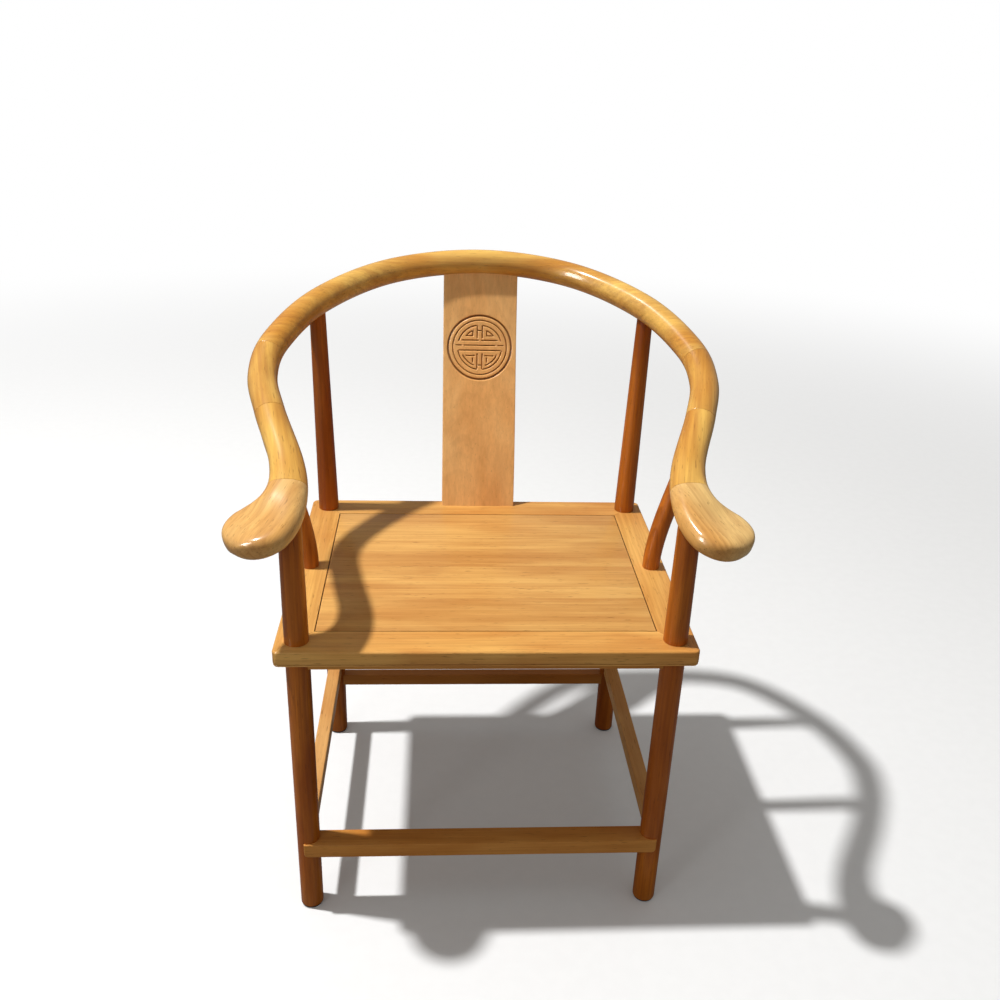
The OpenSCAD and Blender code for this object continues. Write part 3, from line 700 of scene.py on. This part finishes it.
# The fret on the right half, in shares of the roundel's radius from its middle
roundel = {
    "margin": 1.02,
    "softness": 0.03,  # width of a groove's sloping wall
    "lip": 0.15,
    "coveSlope": 1.15,
    "grooveWidth": 0.05,
    "outerRing": 0.95,
    "outerWidth": 0.1,
    "middleRing": 0.81,
    "innerRing": 0.66,
    "pocketRing": 0.535,
    "hookRing": 0.56,
    # Gaps in the inner ring, and the stretches of the two small rings that are cut: left, bottom, right and top
    "stemGap": (-0.075, -1, 0.075, 1),
    "barGap": (0, -0.09, 1, 0.17),
    "pocketArc": (0.185, 0.32, 0.43, 0.52),
    "hookArc": (0.16, -0.6, 0.52, -0.2),
    # Straight grooves, from one end to the other
    "grooves": [
        (-0.46, 0.06, 0.46, 0.06),  # middle bar
        (-0.61, -0.09, 0.61, -0.09),  # lower bar
        (0.05, 0.21, 0.52, 0.21),  # upper bar
        (0.56, 0.06, 0.7, 0.06),  # end of the middle bar
        (-0.04, 0.5, 0.04, 0.5),  # ties across the stem
        (-0.04, -0.53, 0.04, -0.53),
        (0.075, 0.28, 0.075, 0.63),  # stem
        (0.075, -0.2, 0.075, -0.63),
        (0.21, 0.345, 0.21, 0.47),  # pocket
        (0.21, 0.345, 0.38, 0.345),
        (0.16, -0.25, 0.4, -0.25),  # hook
        (0.21, -0.32, 0.21, -0.44),
    ],
}
splatTop = rail["crestZ"] - rail["thickness"] / 2 + splat["tongue"]


def splatY(z):
    s = (z - chair["seatTop"]) / (splatTop - chair["seatTop"])
    foot = chair["halfD"] - splat["inset"]
    return foot + (rail["crestY"] - splat["setback"] - foot) * s - splat["bow"] * math.sin(2 * math.pi * s)


roundelZ = chair["seatTop"] + splat["roundelRise"]
# The roundel is round on the leaning face, so it's lower by this share when measured straight up
roundelTilt = math.cos(math.atan((splatY(roundelZ + 1 * mm) - splatY(roundelZ - 1 * mm)) / (2 * mm)))


def boxDistance(u, v, u0, v0, u1, v1):
    # How far a point is outside a box, or less than 0 inside it
    dx = max(u0 - u, u - u1)
    dy = max(v0 - v, v - v1)
    if dx > 0 and dy > 0:
        return math.hypot(dx, dy)
    return max(dx, dy)


def grooveDistance(u, v, u0, v0, u1, v1):
    half = roundel["grooveWidth"] / 2
    return boxDistance(u, v, min(u0, u1) - half, min(v0, v1) - half, max(u0, u1) + half, max(v0, v1) + half)


def fretDistance(u, v):
    # The pattern is alike on both sides, so u is taken as positive
    u = abs(u)
    r = math.hypot(u, v)

    def ringCut(name):
        return abs(r - roundel[name]) - roundel["grooveWidth"] / 2

    def boxCut(name):
        return boxDistance(u, v, *roundel[name])

    rings = [
        ringCut("middleRing"),
        max(ringCut("innerRing"), -boxCut("stemGap"), -boxCut("barGap")),
        max(ringCut("pocketRing"), boxCut("pocketArc")),
        max(ringCut("hookRing"), boxCut("hookArc")),
    ]
    return min(rings + [grooveDistance(u, v, *groove) for groove in roundel["grooves"]])


def carvedShare(x, z):
    # 0 on the plain face and 1 in the bottom of a groove
    u = x / splat["roundelR"]
    v = (z - roundelZ) / (splat["roundelR"] * roundelTilt)
    r = math.hypot(u, v)
    if r > roundel["margin"]:
        return 0.0
    groove = smoothStep(roundel["lip"] - fretDistance(u, v) / roundel["softness"])
    cove = 1 - abs(r - roundel["outerRing"]) / (roundel["outerWidth"] / 2)
    return max(groove, smoothStep(cove * roundel["coveSlope"]))


def evenSteps(a, b, step):
    count = max(1, round((b - a) / step))
    return [a + (b - a) * k / count for k in range(count)]


def buildSplat():
    edge = splat["width"] / 2
    half = splat["thickness"] / 2
    foot = chair["seatTop"] - splat["tongue"]
    arris = splat["arris"]
    fine = splat["fineStep"]
    reach = splat["roundelR"] * roundel["margin"]
    base = roundelZ - reach * roundelTilt
    top = roundelZ + reach * roundelTilt
    columns = evenSteps(-edge + arris, -reach, splat["columnStep"]) + evenSteps(-reach, reach, fine)
    columns += evenSteps(reach, edge - arris, splat["columnStep"]) + [edge - arris]
    rows = evenSteps(foot, base, splat["rowStep"]) + evenSteps(base, top, fine)
    rows += evenSteps(top, splatTop, splat["rowStep"]) + [splatTop]
    # The four rounded arrises, from the front right one round to the front left one
    turns = quarterTurns(splat["arcSteps"])
    corners = [(edge - arris + arris * math.sin(t), -half + arris * (1 - math.cos(t))) for t in turns[1:]]
    corners += [(edge - arris + arris * math.cos(t), half - arris * (1 - math.sin(t))) for t in turns]
    corners += [(-edge + arris - arris * math.sin(t), half - arris * (1 - math.cos(t))) for t in turns]
    corners += [(-edge + arris - arris * math.cos(t), -half + arris * (1 - math.sin(t))) for t in turns[:-1]]
    rings = []
    shares = []
    for z in rows:
        y = splatY(z)
        cut = [carvedShare(x, z) for x in columns]
        ring = [Vector((x, y - half + splat["carving"] * share, z)) for x, share in zip(columns, cut)]
        rings.append(ring + [Vector((x, y + out, z)) for x, out in corners])
        shares += cut + [0.0] * len(corners)
    piece = loftObject("backSplat", [rings], splat["sharpAngle"])
    setPoints(piece.data, "carved", shares)
    setPlank(piece, *axesOf["z"], Vector((0, chair["halfD"], chair["seatTop"])), splat["plank"])
    finishPiece(piece, lightPaintedSplatWood, "back_splat")
    print("splat carved:", len(piece.data.polygons), "faces")


buildSplat()


# The seat frame: four mitred members with a rounded arris, a plain band, a sunk line and a bead
seatFrame = {
    "cornerR": 9 * mm,
    "rim": 6 * mm,
    "arris": 3 * mm,
    "arrisSteps": 8,
    "bead": 3 * mm,
    "quirk": 1 * mm,
    "quirkDepth": 2 * mm,
    # Outline of the small roundings, inwards and upwards in millimetres from the frame's base or the quirk's edges
    "beadFoot": [(1.5, 0), (0.9, 0.3), (0.5, 1)],
    "beadHead": [(0.5, -0.5), (0.8, -0.15), (1.2, 0)],
    "bandFoot": [(0.4, 0), (0.1, 0.15), (0, 0.5)],
    "innerArris": (0.5 * mm, 0.4 * mm),
    "facePoint": 0.4,  # share of the width where the flat top has one more point
    "faceDepth": 0.2 * mm,  # points less far below the top belong to it
    "sideWidth": 51 * mm,
    "frontWidth": 53 * mm,
    "backWidth": 56 * mm,
    "panelThickness": 12 * mm,
    "tongue": 8 * mm,
    "tongueThickness": 6 * mm,
    "panelSeam": 1.2 * mm,
    "mitreGap": 0.08 * mm,
    "mitreV": 0.3 * mm,
    "mitreEase": 0.5 * mm,
    "straightSteps": 6,
    "cornerTurns": (7, 14, 21, 28, 35),  # degrees round the corner before the mitre
    "cornerStart": 3 * mm,  # where the corner begins on the inner edge, before the mitre
    "cornerStep": 0.48 * mm,
    # The two values below are painted shade: the back of the sunk line and the wall of the seam round the panel are
    # coloured darker, where shadow falls in the gaps
    "quirkShade": 0.9,
    "seamStainAndShade": 0.6,
    "sharpAngle": 28,
    "planks": {
        "frame_front": (8.2, 0.3, 0.05, 0),
        "frame_back": (9.4, -0.2, 0.06, 0.08),
        "frame_left": (10.2, 0.06, 0.03, 0.06),
        "frame_right": (11.8, 0.06, 0.03, 0.06),
    },
}


def memberProfile(width):
    # Inward depth from the outer face, and height, round the whole section
    base = chair["frameBase"]
    top = chair["seatTop"]
    beadTop = base + seatFrame["bead"]
    quirkTop = beadTop + seatFrame["quirk"]
    grooveTop = top - seatFrame["tongueThickness"] + chair["fit"]
    grooveBase = top - seatFrame["panelThickness"] - chair["fit"]
    grooveDepth = width - seatFrame["tongue"] - chair["fit"]
    easeIn, easeDown = seatFrame["innerArris"]

    def small(name, height):
        return [(depth * mm, height + rise * mm) for depth, rise in seatFrame[name]]

    outer = [(seatFrame["rim"], base)] + small("beadFoot", base) + small("beadHead", beadTop)
    outer += [(seatFrame["quirkDepth"], beadTop), (seatFrame["quirkDepth"], quirkTop)] + small("bandFoot", quirkTop)
    turns = quarterTurns(seatFrame["arrisSteps"])
    arris = [(seatFrame["arris"] * (1 - math.cos(t)), top - seatFrame["arris"] * (1 - math.sin(t))) for t in turns]
    inner = [(depth, top) for depth in (seatFrame["rim"], width * seatFrame["facePoint"], width - easeIn)]
    inner += [(width, top - easeDown), (width, grooveTop), (grooveDepth, grooveTop)]
    inner += [(grooveDepth, grooveBase), (width, grooveBase), (width, base)]
    return outer + arris + inner


def memberRings(halfLength, width, innerHalf):
    # Sections from the middle of a member to its mitre, as (along, inward, height)
    r = seatFrame["cornerR"]
    ease = seatFrame["mitreEase"]
    profile = memberProfile(width)
    run = halfLength - innerHalf
    innerStart = innerHalf - seatFrame["cornerStart"]
    straight = [(halfLength - r) * k / seatFrame["straightSteps"] for k in range(seatFrame["straightSteps"] + 1)]
    stations = [("straight", along, along * innerStart / (halfLength - r)) for along in straight]
    stations += [("arc", math.radians(turn), innerStart + seatFrame["cornerStep"] * k)
        for k, turn in enumerate(seatFrame["cornerTurns"])]
    stations += [("mitre", ease, innerHalf - ease), ("mitre", 0, innerHalf)]

    def placed(kind, value, depth):
        if kind == "straight":
            return value, depth
        rho = r - depth
        if kind == "arc":
            return halfLength - r + rho * math.sin(value), r - rho * math.cos(value)
        # Where the line set in by depth crosses the mitre
        a = run * run + width * width
        b = -2 * r * (run + width)
        t = (-b - math.sqrt(b * b - 4 * a * (2 * r * r - rho * rho))) / (2 * a)
        return halfLength - t * run - value, t * width

    rings = []
    for number, (kind, value, innerAlong) in enumerate(stations):
        ring = []
        rim = placed(kind, value, seatFrame["rim"])
        for depth, z in profile:
            if depth <= seatFrame["rim"]:
                along, inward = placed(kind, value, depth)
            else:
                t = (depth - seatFrame["rim"]) / (width - seatFrame["rim"])
                along = rim[0] + (innerAlong - rim[0]) * t
                inward = rim[1] + (width - rim[1]) * t
            if number == len(stations) - 1:
                along -= seatFrame["mitreGap"]
                if z > chair["seatTop"] - seatFrame["faceDepth"]:
                    z -= seatFrame["mitreV"]
            ring.append((along, inward, z))
        rings.append(ring)
    return rings


def memberShade(width, rings):
    # Painted shade: dark in the sunk line round the edge, and on the wall of the seam round the panel
    sunk = chair["frameBase"] + seatFrame["bead"]
    line = []
    for depth, z in memberProfile(width):
        inSeam = depth == width and z > chair["seatTop"] - seatFrame["tongueThickness"]
        inQuirk = depth == seatFrame["quirkDepth"] and sunk <= z <= sunk + seatFrame["quirk"]
        line.append(seatFrame["quirkShade"] if inQuirk else seatFrame["seamStainAndShade"] if inSeam else 0.0)
    return list(reversed(line)) * len(rings)


def memberObject(name, rings, width, grain, origin, node, mirror=False):
    rings = [list(reversed(ring)) for ring in rings]
    stainsAndShade = memberShade(width, rings)
    if mirror:
        rings = mirrorX(rings)
        stainsAndShade = list(reversed(stainsAndShade))
    piece = loftObject(name, [rings], seatFrame["sharpAngle"])
    setPlank(piece, *axesOf[grain], Vector((*origin, chair["seatTop"])), seatFrame["planks"][node], stainsAndShade)
    finishPiece(piece, frameWood, node)


def buildFrame():
    halfW = chair["halfW"]
    halfD = chair["halfD"]
    openX = halfW - seatFrame["sideWidth"]
    for way, word in ((-1, "front"), (1, "back")):
        width = seatFrame[word + "Width"]
        half = memberRings(halfW, width, openX)
        whole = [[(-a, i, z) for a, i, z in ring] for ring in reversed(half[1:])] + half
        rings = [[Vector((-way * a, way * (halfD - i), z)) for a, i, z in ring] for ring in whole]
        memberObject("frame" + word.capitalize(), rings, width, "x", (0, 0), "frame_" + word)
    # The side members are not alike at their two ends, so each end has its own mitre
    width = seatFrame["sideWidth"]
    front = memberRings(halfD, width, halfD - seatFrame["frontWidth"])
    back = memberRings(halfD, width, halfD - seatFrame["backWidth"])
    whole = [[(-a, i, z) for a, i, z in ring] for ring in reversed(front[1:])] + back
    rings = [[Vector((halfW - i, a, z)) for a, i, z in ring] for ring in whole]
    for side, word in bothSides:
        memberObject("frame" + word.capitalize(), rings, width, "y", (side * halfW, 0), "frame_" + word, side < 0)
    print("seat frame moulded and mitred")


buildFrame()


# The seat panel: four boards glued side by side, tongued into the frame
panel = {
    "boards": 4,
    "arris": 0.7 * mm,
    "arrisMiddle": 0.3,  # how far in and down the middle of an arris lies, as a share of its size
    "glueGap": 0.1 * mm,
    "sharpAngle": 25,
    "planks": [
        (13.1, 0.17, 0.05, 0.1),
        (14.7, 0.02, 0.07, 0),
        (16.2, -0.07, 0.06, 0.07),
        (18.4, -0.12, 0.05, 0.03),
    ],
}


def boardRings(y0, y1, first, last):
    # Sections of a board from front to back; the first and the last board have a tongue along their outer edge too
    top = chair["seatTop"]
    low = top - seatFrame["panelThickness"]
    tongueTop = top - seatFrame["tongueThickness"]
    edge = chair["halfW"] - seatFrame["sideWidth"]
    seam = seatFrame["panelSeam"]
    tongue = seatFrame["tongue"]
    arris = panel["arris"]
    bend = panel["arrisMiddle"] * arris

    def section(y, drop, flat):
        x = edge - seam
        high = tongueTop if flat else top - drop
        loop = [(x - arris, high), (x - bend, min(high, top - bend)), (x, min(high, top - arris)), (x, tongueTop),
            (edge + tongue, tongueTop), (edge + tongue, low)]
        points = [Vector((px, y, pz)) for px, pz in loop]
        return points + [Vector((-px, y, pz)) for px, pz in reversed(loop)]

    front = [section(y0, 0, False)]
    back = [section(y1, 0, False)]
    if first:
        front = [section(y0 - seam - tongue, 0, True), section(y0, 0, True), section(y0, arris, False),
            section(y0 + bend, bend, False), section(y0 + arris, 0, False)]
    if last:
        back = [section(y1 - arris, 0, False), section(y1 - bend, bend, False), section(y1, arris, False),
            section(y1, 0, True), section(y1 + seam + tongue, 0, True)]
    return front + back


def buildPanel():
    seam = seatFrame["panelSeam"]
    tongue = seatFrame["tongue"]
    gap = panel["glueGap"]
    front = seatFrame["frontWidth"] - chair["halfD"]
    back = chair["halfD"] - seatFrame["backWidth"]
    count = panel["boards"]
    board = (back - front + 2 * tongue) / count
    points = []
    faces = []
    owners = []
    for k in range(count):
        first = k == 0
        last = k == count - 1
        y0 = front + seam if first else front - tongue + k * board + gap / 2
        y1 = back - seam if last else front - tongue + (k + 1) * board - gap / 2
        morePoints, moreFaces = loftParts(boardRings(y0, y1, first, last), len(points))
        points += morePoints
        faces += moreFaces
        owners += [k] * len(morePoints)
    piece = meshObject("seatPanel", points, faces, panel["sharpAngle"])
    edge = seam + chair["fit"]
    edgeX = chair["halfW"] - seatFrame["sideWidth"] - edge
    clean = [abs(p.x) <= edgeX and front + edge < p.y < back - edge for p in points]
    # The walls of the seam round the panel are painted darker, as shade in the gap
    stainsAndShade = [0.0 if plain else seatFrame["seamStainAndShade"] for plain in clean]
    setPlank(piece, *axesOf["x"], Vector((0, 0, chair["seatTop"])), (0, 0, 0, 0), stainsAndShade)
    places = piece.data.attributes["plank"].data
    tones = piece.data.attributes["tone"].data
    for i, k in enumerate(owners):
        *shift, tone = panel["planks"][k]
        places[i].vector = Vector(places[i].vector) + Vector(shift)
        tones[i].value = tone
    finishPiece(piece, panelWood, "seat_panel")
    print("seat panel glued up from", count, "boards")


buildPanel()


# Bars between the legs: square sections with soft arrises, scribed round the legs
bars = {
    "stretcherArris": 1.6 * mm,
    "stripArris": 0.8 * mm,
    "arcSteps": 5,
    "flatSteps": 10,
    "sharpAngle": 28,
    "planks": {
        # The rear stretcher's tone of 0.5 is painted shade: it is much darker than its like pieces, as if in the
        # seat's shadow
        "rear_stretcher": (21, 0.03, 0.05, 0.5),
        "left_stretcher": (21.5, 0.04, 0.03, 0),
        "right_stretcher": (23.5, 0.04, 0.03, 0),
        "left_strip": (24, 0.02, 0.04, 0.1),
        "right_strip": (26, 0.02, 0.04, 0.1),
        "front_strip": (26, 0.03, 0.02, 0.06),
        "back_strip": (28, 0.03, 0.02, 0.06),
    },
}


def barParts(halfLength, y0, y1, z0, z1, arris):
    # A bar along X whose ends are hollowed to fit round legs that stand at y = 0
    turns = quarterTurns(bars["arcSteps"])
    flat = y1 - y0 - 2 * arris
    edge = [(y0 + arris * (1 - math.cos(t)), arris * (1 - math.sin(t))) for t in turns]
    edge += [(y0 + arris + flat * k / bars["flatSteps"], 0) for k in range(1, bars["flatSteps"])]
    edge += [(y1 - arris * (1 - math.cos(t)), arris * (1 - math.sin(t))) for t in reversed(turns)]
    loop = [(y, z1 - drop) for y, drop in edge] + [(y, z0 + drop) for y, drop in reversed(edge)]
    scribe = chair["legR"] + chair["fit"]
    points = []
    for way in (-1, 1):
        points += [Vector((way * (halfLength - math.sqrt(scribe ** 2 - y * y)), y, z)) for y, z in loop]
    count = len(loop)
    faces = []
    for j in range(count):
        k = (j + 1) % count
        faces.append((j, count + j, count + k, k))
    # The hollow ends are filled in strips from the top edge to the lower edge
    for top in range(len(edge) - 1):
        low = count - 1 - top
        faces.append((top, top + 1, low - 1, low))
        faces.append((count + top, count + low, count + low - 1, count + top + 1))
    return points, faces


def barObject(name, place, halfLength, section, arris, node, mirror=False):
    points, faces = barParts(halfLength, *section, arris)
    if mirror:
        points = [Vector((p.x, -p.y, p.z)) for p in points]
        faces = [tuple(reversed(face)) for face in faces]
    piece = meshObject(name, [place @ p for p in points], faces, bars["sharpAngle"])
    along = place.to_3x3() @ Vector((1, 0, 0))
    across = place.to_3x3() @ Vector((0, 1, 0))
    setPlank(piece, along, across, place.translation, bars["planks"][node])
    # The side stretchers take the paler, painted-light copy of the stretcher wood
    wood = lightPaintedSideStretcherWood if node in ("left_stretcher", "right_stretcher") else stretcherWood
    finishPiece(piece, wood, node)


def barSection(node, axis, line):
    # How far the bar reaches outwards, as less than 0, and inwards of the line that its legs stand on
    low, high = lowOf(node), highOf(node)
    near, far = sorted((abs(low[axis]), abs(high[axis])))
    return line - far, line - near, low.z, high.z


def betweenLegs(word, kind, axis, line, place, halfLength, mirror):
    node = word + "_" + kind
    section = barSection(node, axis, line)
    barObject(word + kind.capitalize(), place, halfLength, section, bars[kind + "Arris"], node, mirror)


def crossBar(word, kind, y):
    betweenLegs(word, kind, 1, abs(y), Matrix.Translation((0, y, 0)), chair["legX"], y > 0)


def buildBars():
    legX = chair["legX"]
    frontY = chair["frontLegY"]
    rearY = chair["rearLegY"]
    quarter = Matrix.Rotation(math.pi / 2, 4, "Z")
    crossBar("rear", "stretcher", rearY)
    for side, word in bothSides:
        place = Matrix.Translation((side * legX, (frontY + rearY) / 2, 0)) @ quarter
        for kind in ("stretcher", "strip"):
            betweenLegs(word, kind, 0, legX, place, (rearY - frontY) / 2, side < 0)
    crossBar("front", "strip", frontY)
    crossBar("back", "strip", rearY)
    print("stretchers and strips fitted")


buildBars()


# The footrest: a board let into the fronts of the front legs
footrest = {
    "lap": 16 * mm,
    "overhang": 5.5 * mm,  # past the middle of the leg at each end
    "lowerRound": 6 * mm,
    "backRound": 0.3 * mm,
    "arris": 1.8 * mm,
    "cornerSteps": 6,
    "backSteps": 8,
    "sharpAngle": 28,
    "plank": (31, 0.05, 0.07, 0),
}


def buildFootrest():
    low, high = lowOf("footrest"), highOf("footrest")
    endX = chair["legX"] + footrest["overhang"]
    shoulder = low.y + footrest["lap"]
    arris = footrest["arris"]
    turns = quarterTurns(footrest["cornerSteps"])

    def section(y, x, inset, corner):
        # The upper corners are square, the lower ones are round
        base = low.z + inset
        x = x - inset
        loop = [(x, high.z - inset)]
        loop += [(x - corner * (1 - math.cos(t)), base + corner * (1 - math.sin(t))) for t in turns]
        points = [Vector((px, y, pz)) for px, pz in loop]
        return points + [Vector((-px, y, pz)) for px, pz in reversed(loop)]

    def scribedX(y):
        # Between the legs the board ends against their round shafts
        return chair["legX"] - math.sqrt((chair["legR"] + chair["fit"]) ** 2 - (y - chair["frontLegY"]) ** 2)

    rings = [section(low.y + arris * (1 - math.sin(t)), endX, arris * (1 - math.cos(t)), footrest["lowerRound"])
        for t in reversed(turns)]
    rings.append(section(shoulder, endX, 0, footrest["lowerRound"]))
    run = high.y - shoulder - arris / 2
    for k in range(footrest["backSteps"] + 1):
        y = shoulder + run * k / footrest["backSteps"]
        rings.append(section(y, scribedX(y), 0, footrest["backRound"]))
    rings.append(section(high.y, scribedX(high.y), arris / 2, footrest["backRound"]))
    piece = loftObject("footrest", [rings], footrest["sharpAngle"])
    setPlank(piece, *axesOf["x"], Vector((0, low.y, low.z)), footrest["plank"])
    finishPiece(piece, stretcherWood, "footrest")
    print("footrest let in")


buildFootrest()


# Dark pads under the feet
pads = {
    "arris": 0.6 * mm,
    "dark": (24, 23, 22),
    "light": (44, 42, 40),
    "specklesPerMetre": 900,
    "speckleShown": (0.35, 0.7),
    "mattShown": (0.3, 0.7),
    "matt": (0.55, 0.75),
    "bump": 0.2,
    "bumpDepth": 0.2 * mm,
}


def padFinish():
    material, tree = newMaterial("padPlastic")
    shader = tree.nodes["Principled BSDF"]
    speckle = noiseNode(tree, objectPlace(tree), pads["specklesPerMetre"])
    shown = rangeNode(tree, speckle, *pads["speckleShown"])
    base = mixColour(tree, shown, linear(pads["dark"]), linear(pads["light"]))
    tree.links.new(base, shader.inputs["Base Color"])
    tree.links.new(rangeNode(tree, speckle, *pads["mattShown"], *pads["matt"]), shader.inputs["Roughness"])
    addBump(tree, speckle, pads)
    return material


def buildPads():
    padPlastic = padFinish()
    for word in ("left_front", "right_front", "left_rear", "right_rear"):
        node = word + "_pad"
        low, high = lowOf(node), highOf(node)
        centre = (low + high) / 2
        radius = (high.x - low.x) / 2
        lower = arrisSteps(radius, pads["arris"], low.z)
        upper = list(reversed(arrisSteps(radius, pads["arris"] / 2, high.z, -1)))
        rings = [roundRing(Vector((centre.x, centre.y, z)), r) for r, z in lower + upper]
        first, second = word.split("_")
        piece = loftObject(first + second.capitalize() + "Pad", [rings])
        finishPiece(piece, padPlastic, node)
    print("foot pads set")


buildPads()


# The battens and the lock pins keep their CAD shapes, and take their place in the plank from where they stand
def fixedWood(name, look, turn):
    # turn is the angle from X to the grain, in degrees
    material = woodFinish(name, look)
    tree = material.node_tree
    turned = scaled(tree, objectPlace(tree), (1, 1, 1), turn)
    for node in tree.nodes:
        if node.type == "ATTRIBUTE" and node.attribute_name == "plank":
            for link in list(node.outputs["Vector"].links):
                tree.links.new(turned, link.to_socket)
    return material


def dressHidden():
    battenWood = fixedWood("battenWood", {**honey, "varnish": 0.05, "gloss": (0.5, 0.65)}, 90)
    pinWood = fixedWood("pinWood", {**honey, "light": (158, 98, 46), "middle": (136, 78, 32)}, 0)
    for node in ("left_batten", "right_batten"):
        dressNode(node, battenWood)
    dressNode("rail_lock_pins", pinWood)
    print("battens and pins finished")


def dressNode(node, material):
    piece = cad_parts[node]
    if not piece.material_slots:
        piece.data.materials.append(material)
    for place in piece.material_slots:
        place.material = material


dressHidden()


# Floor, light and the camera at the photograph's angle
studio = {
    "floorShown": (0.85, 0.85, 0.845),
    "floorFleck": 1.015,
    "fleckShown": (0.3, 0.7),
    "flecksPerMetre": 40,
    "floorBounce": (0.2, 0.2, 0.2),
    "floorR": 12,
    "floorSides": 96,
    "fade": (1.2, 4.8),
    "air": (1.0, 0.985, 0.96),
    "airStrength": 0.32,
    # Place, aim, watts and size of each lamp; the last one, a tall window, shows only as a shine in the varnish
    "keyLamp": ((-2.13, 0.17, 5.5), (0, 0, 0.5), 320, (0.25,)),
    "windowLamp": ((-1.9, -2.2, 1.1), (0, 0, 0.6), 6.5, (0.4, 1.7)),
    "windowShine": ((-2.0, -1.4, 1.9), (0, 0, 0.8), 150, (1.0, 1.5)),
    "lens": 35.3,
    "film": 36,
    "place": (-0.0705, -1.3563, 1.218),
    "pitch": 24.713,
    "yaw": 3.984,
    "roll": 2.122,
}


def areaLamp(name):
    place, aim, power, size = studio[name]
    lamp = bpy.data.lights.new(name, "AREA")
    lamp.shape = "RECTANGLE" if len(size) > 1 else "DISK"
    lamp.energy = power
    lamp.size = size[0]
    lamp.size_y = size[-1]
    holder = bpy.data.objects.new(name, lamp)
    holder.location = Vector(place) + seatMiddle
    holder.rotation_euler = (Vector(aim) - Vector(place)).to_track_quat("-Z", "Y").to_euler()
    bpy.context.scene.collection.objects.link(holder)
    return holder


def shaderMix(tree, factor, first, second):
    mix = addNode(tree, "ShaderNodeMixShader")
    for socket, source in zip(mix.inputs, (factor, first, second)):
        tree.links.new(source, socket)
    return mix.outputs[0]


def plainShader(tree, kind, colour, strength=None):
    shader = addNode(tree, kind)
    shader.inputs["Color"].default_value = (*colour, 1)
    if strength is not None:
        shader.inputs["Strength"].default_value = strength
    return shader.outputs[0]


def buildFloor():
    # A round sheet of pale paper that keeps the chair's shadow and fades into the white of the room farther out
    turns = fullTurns(studio["floorSides"])
    points = [(studio["floorR"] * math.cos(t), studio["floorR"] * math.sin(t), 0) for t in turns]
    floor = meshObject("studioFloor", points, [tuple(range(len(points)))])
    material, tree = newMaterial("floorPaper")
    tree.nodes.clear()
    place = objectPlace(tree)
    fleck = rangeNode(tree, noiseNode(tree, place, studio["flecksPerMetre"]), *studio["fleckShown"])
    shown = studio["floorShown"]
    paper = addNode(tree, "ShaderNodeBsdfDiffuse")
    tree.links.new(mixColour(tree, fleck, shown, tuple(c * studio["floorFleck"] for c in shown)), paper.inputs[0])
    away = addNode(tree, "ShaderNodeVectorMath", operation="LENGTH")
    tree.links.new(place, away.inputs[0])
    far = rangeNode(tree, away.outputs["Value"], *studio["fade"])
    faded = shaderMix(tree, far, paper.outputs[0], plainShader(tree, "ShaderNodeEmission", (1, 1, 1), 1))
    bounce = plainShader(tree, "ShaderNodeBsdfDiffuse", studio["floorBounce"])
    mixed = shaderMix(tree, seenDirectly(tree), bounce, faded)
    tree.links.new(mixed, addNode(tree, "ShaderNodeOutputMaterial").inputs[0])
    floor.data.materials.append(material)


def seenDirectly(tree):
    # 1 for the rays that show the studio itself, and 0 for those that light the chair or mirror in its varnish
    return addNode(tree, "ShaderNodeLightPath").outputs["Is Camera Ray"]


def buildLight():
    world = bpy.context.scene.world or bpy.data.worlds.new("studioAir")
    bpy.context.scene.world = world
    world.use_nodes = True
    tree = world.node_tree
    tree.nodes.clear()
    air = plainShader(tree, "ShaderNodeBackground", studio["air"], studio["airStrength"])
    white = plainShader(tree, "ShaderNodeBackground", (1, 1, 1), 1)
    mixed = shaderMix(tree, seenDirectly(tree), air, white)
    tree.links.new(mixed, addNode(tree, "ShaderNodeOutputWorld").inputs[0])
    areaLamp("keyLamp")
    areaLamp("windowLamp")
    areaLamp("windowShine").visible_diffuse = False


def buildCamera():
    pitch = math.radians(studio["pitch"])
    yaw = math.radians(studio["yaw"])
    roll = math.radians(studio["roll"])
    look = Vector((math.sin(yaw) * math.cos(pitch), math.cos(yaw) * math.cos(pitch), -math.sin(pitch)))
    level = Vector((math.cos(yaw), -math.sin(yaw), 0))
    raised = level.cross(look)
    right = math.cos(roll) * level + math.sin(roll) * raised
    up = -math.sin(roll) * level + math.cos(roll) * raised
    view = bpy.data.cameras.new("photoView")
    view.lens = studio["lens"]
    view.sensor_width = studio["film"]
    view.sensor_fit = "HORIZONTAL"
    holder = bpy.data.objects.new("photoView", view)
    turned = Matrix((right, up, -look)).transposed().to_4x4()
    holder.matrix_world = Matrix.Translation(Vector(studio["place"]) + seatMiddle) @ turned
    bpy.context.scene.collection.objects.link(holder)
    bpy.context.scene.camera = holder


buildFloor()
buildLight()
buildCamera()
bpy.context.scene.view_settings.view_transform = "Standard"
print("studio set")
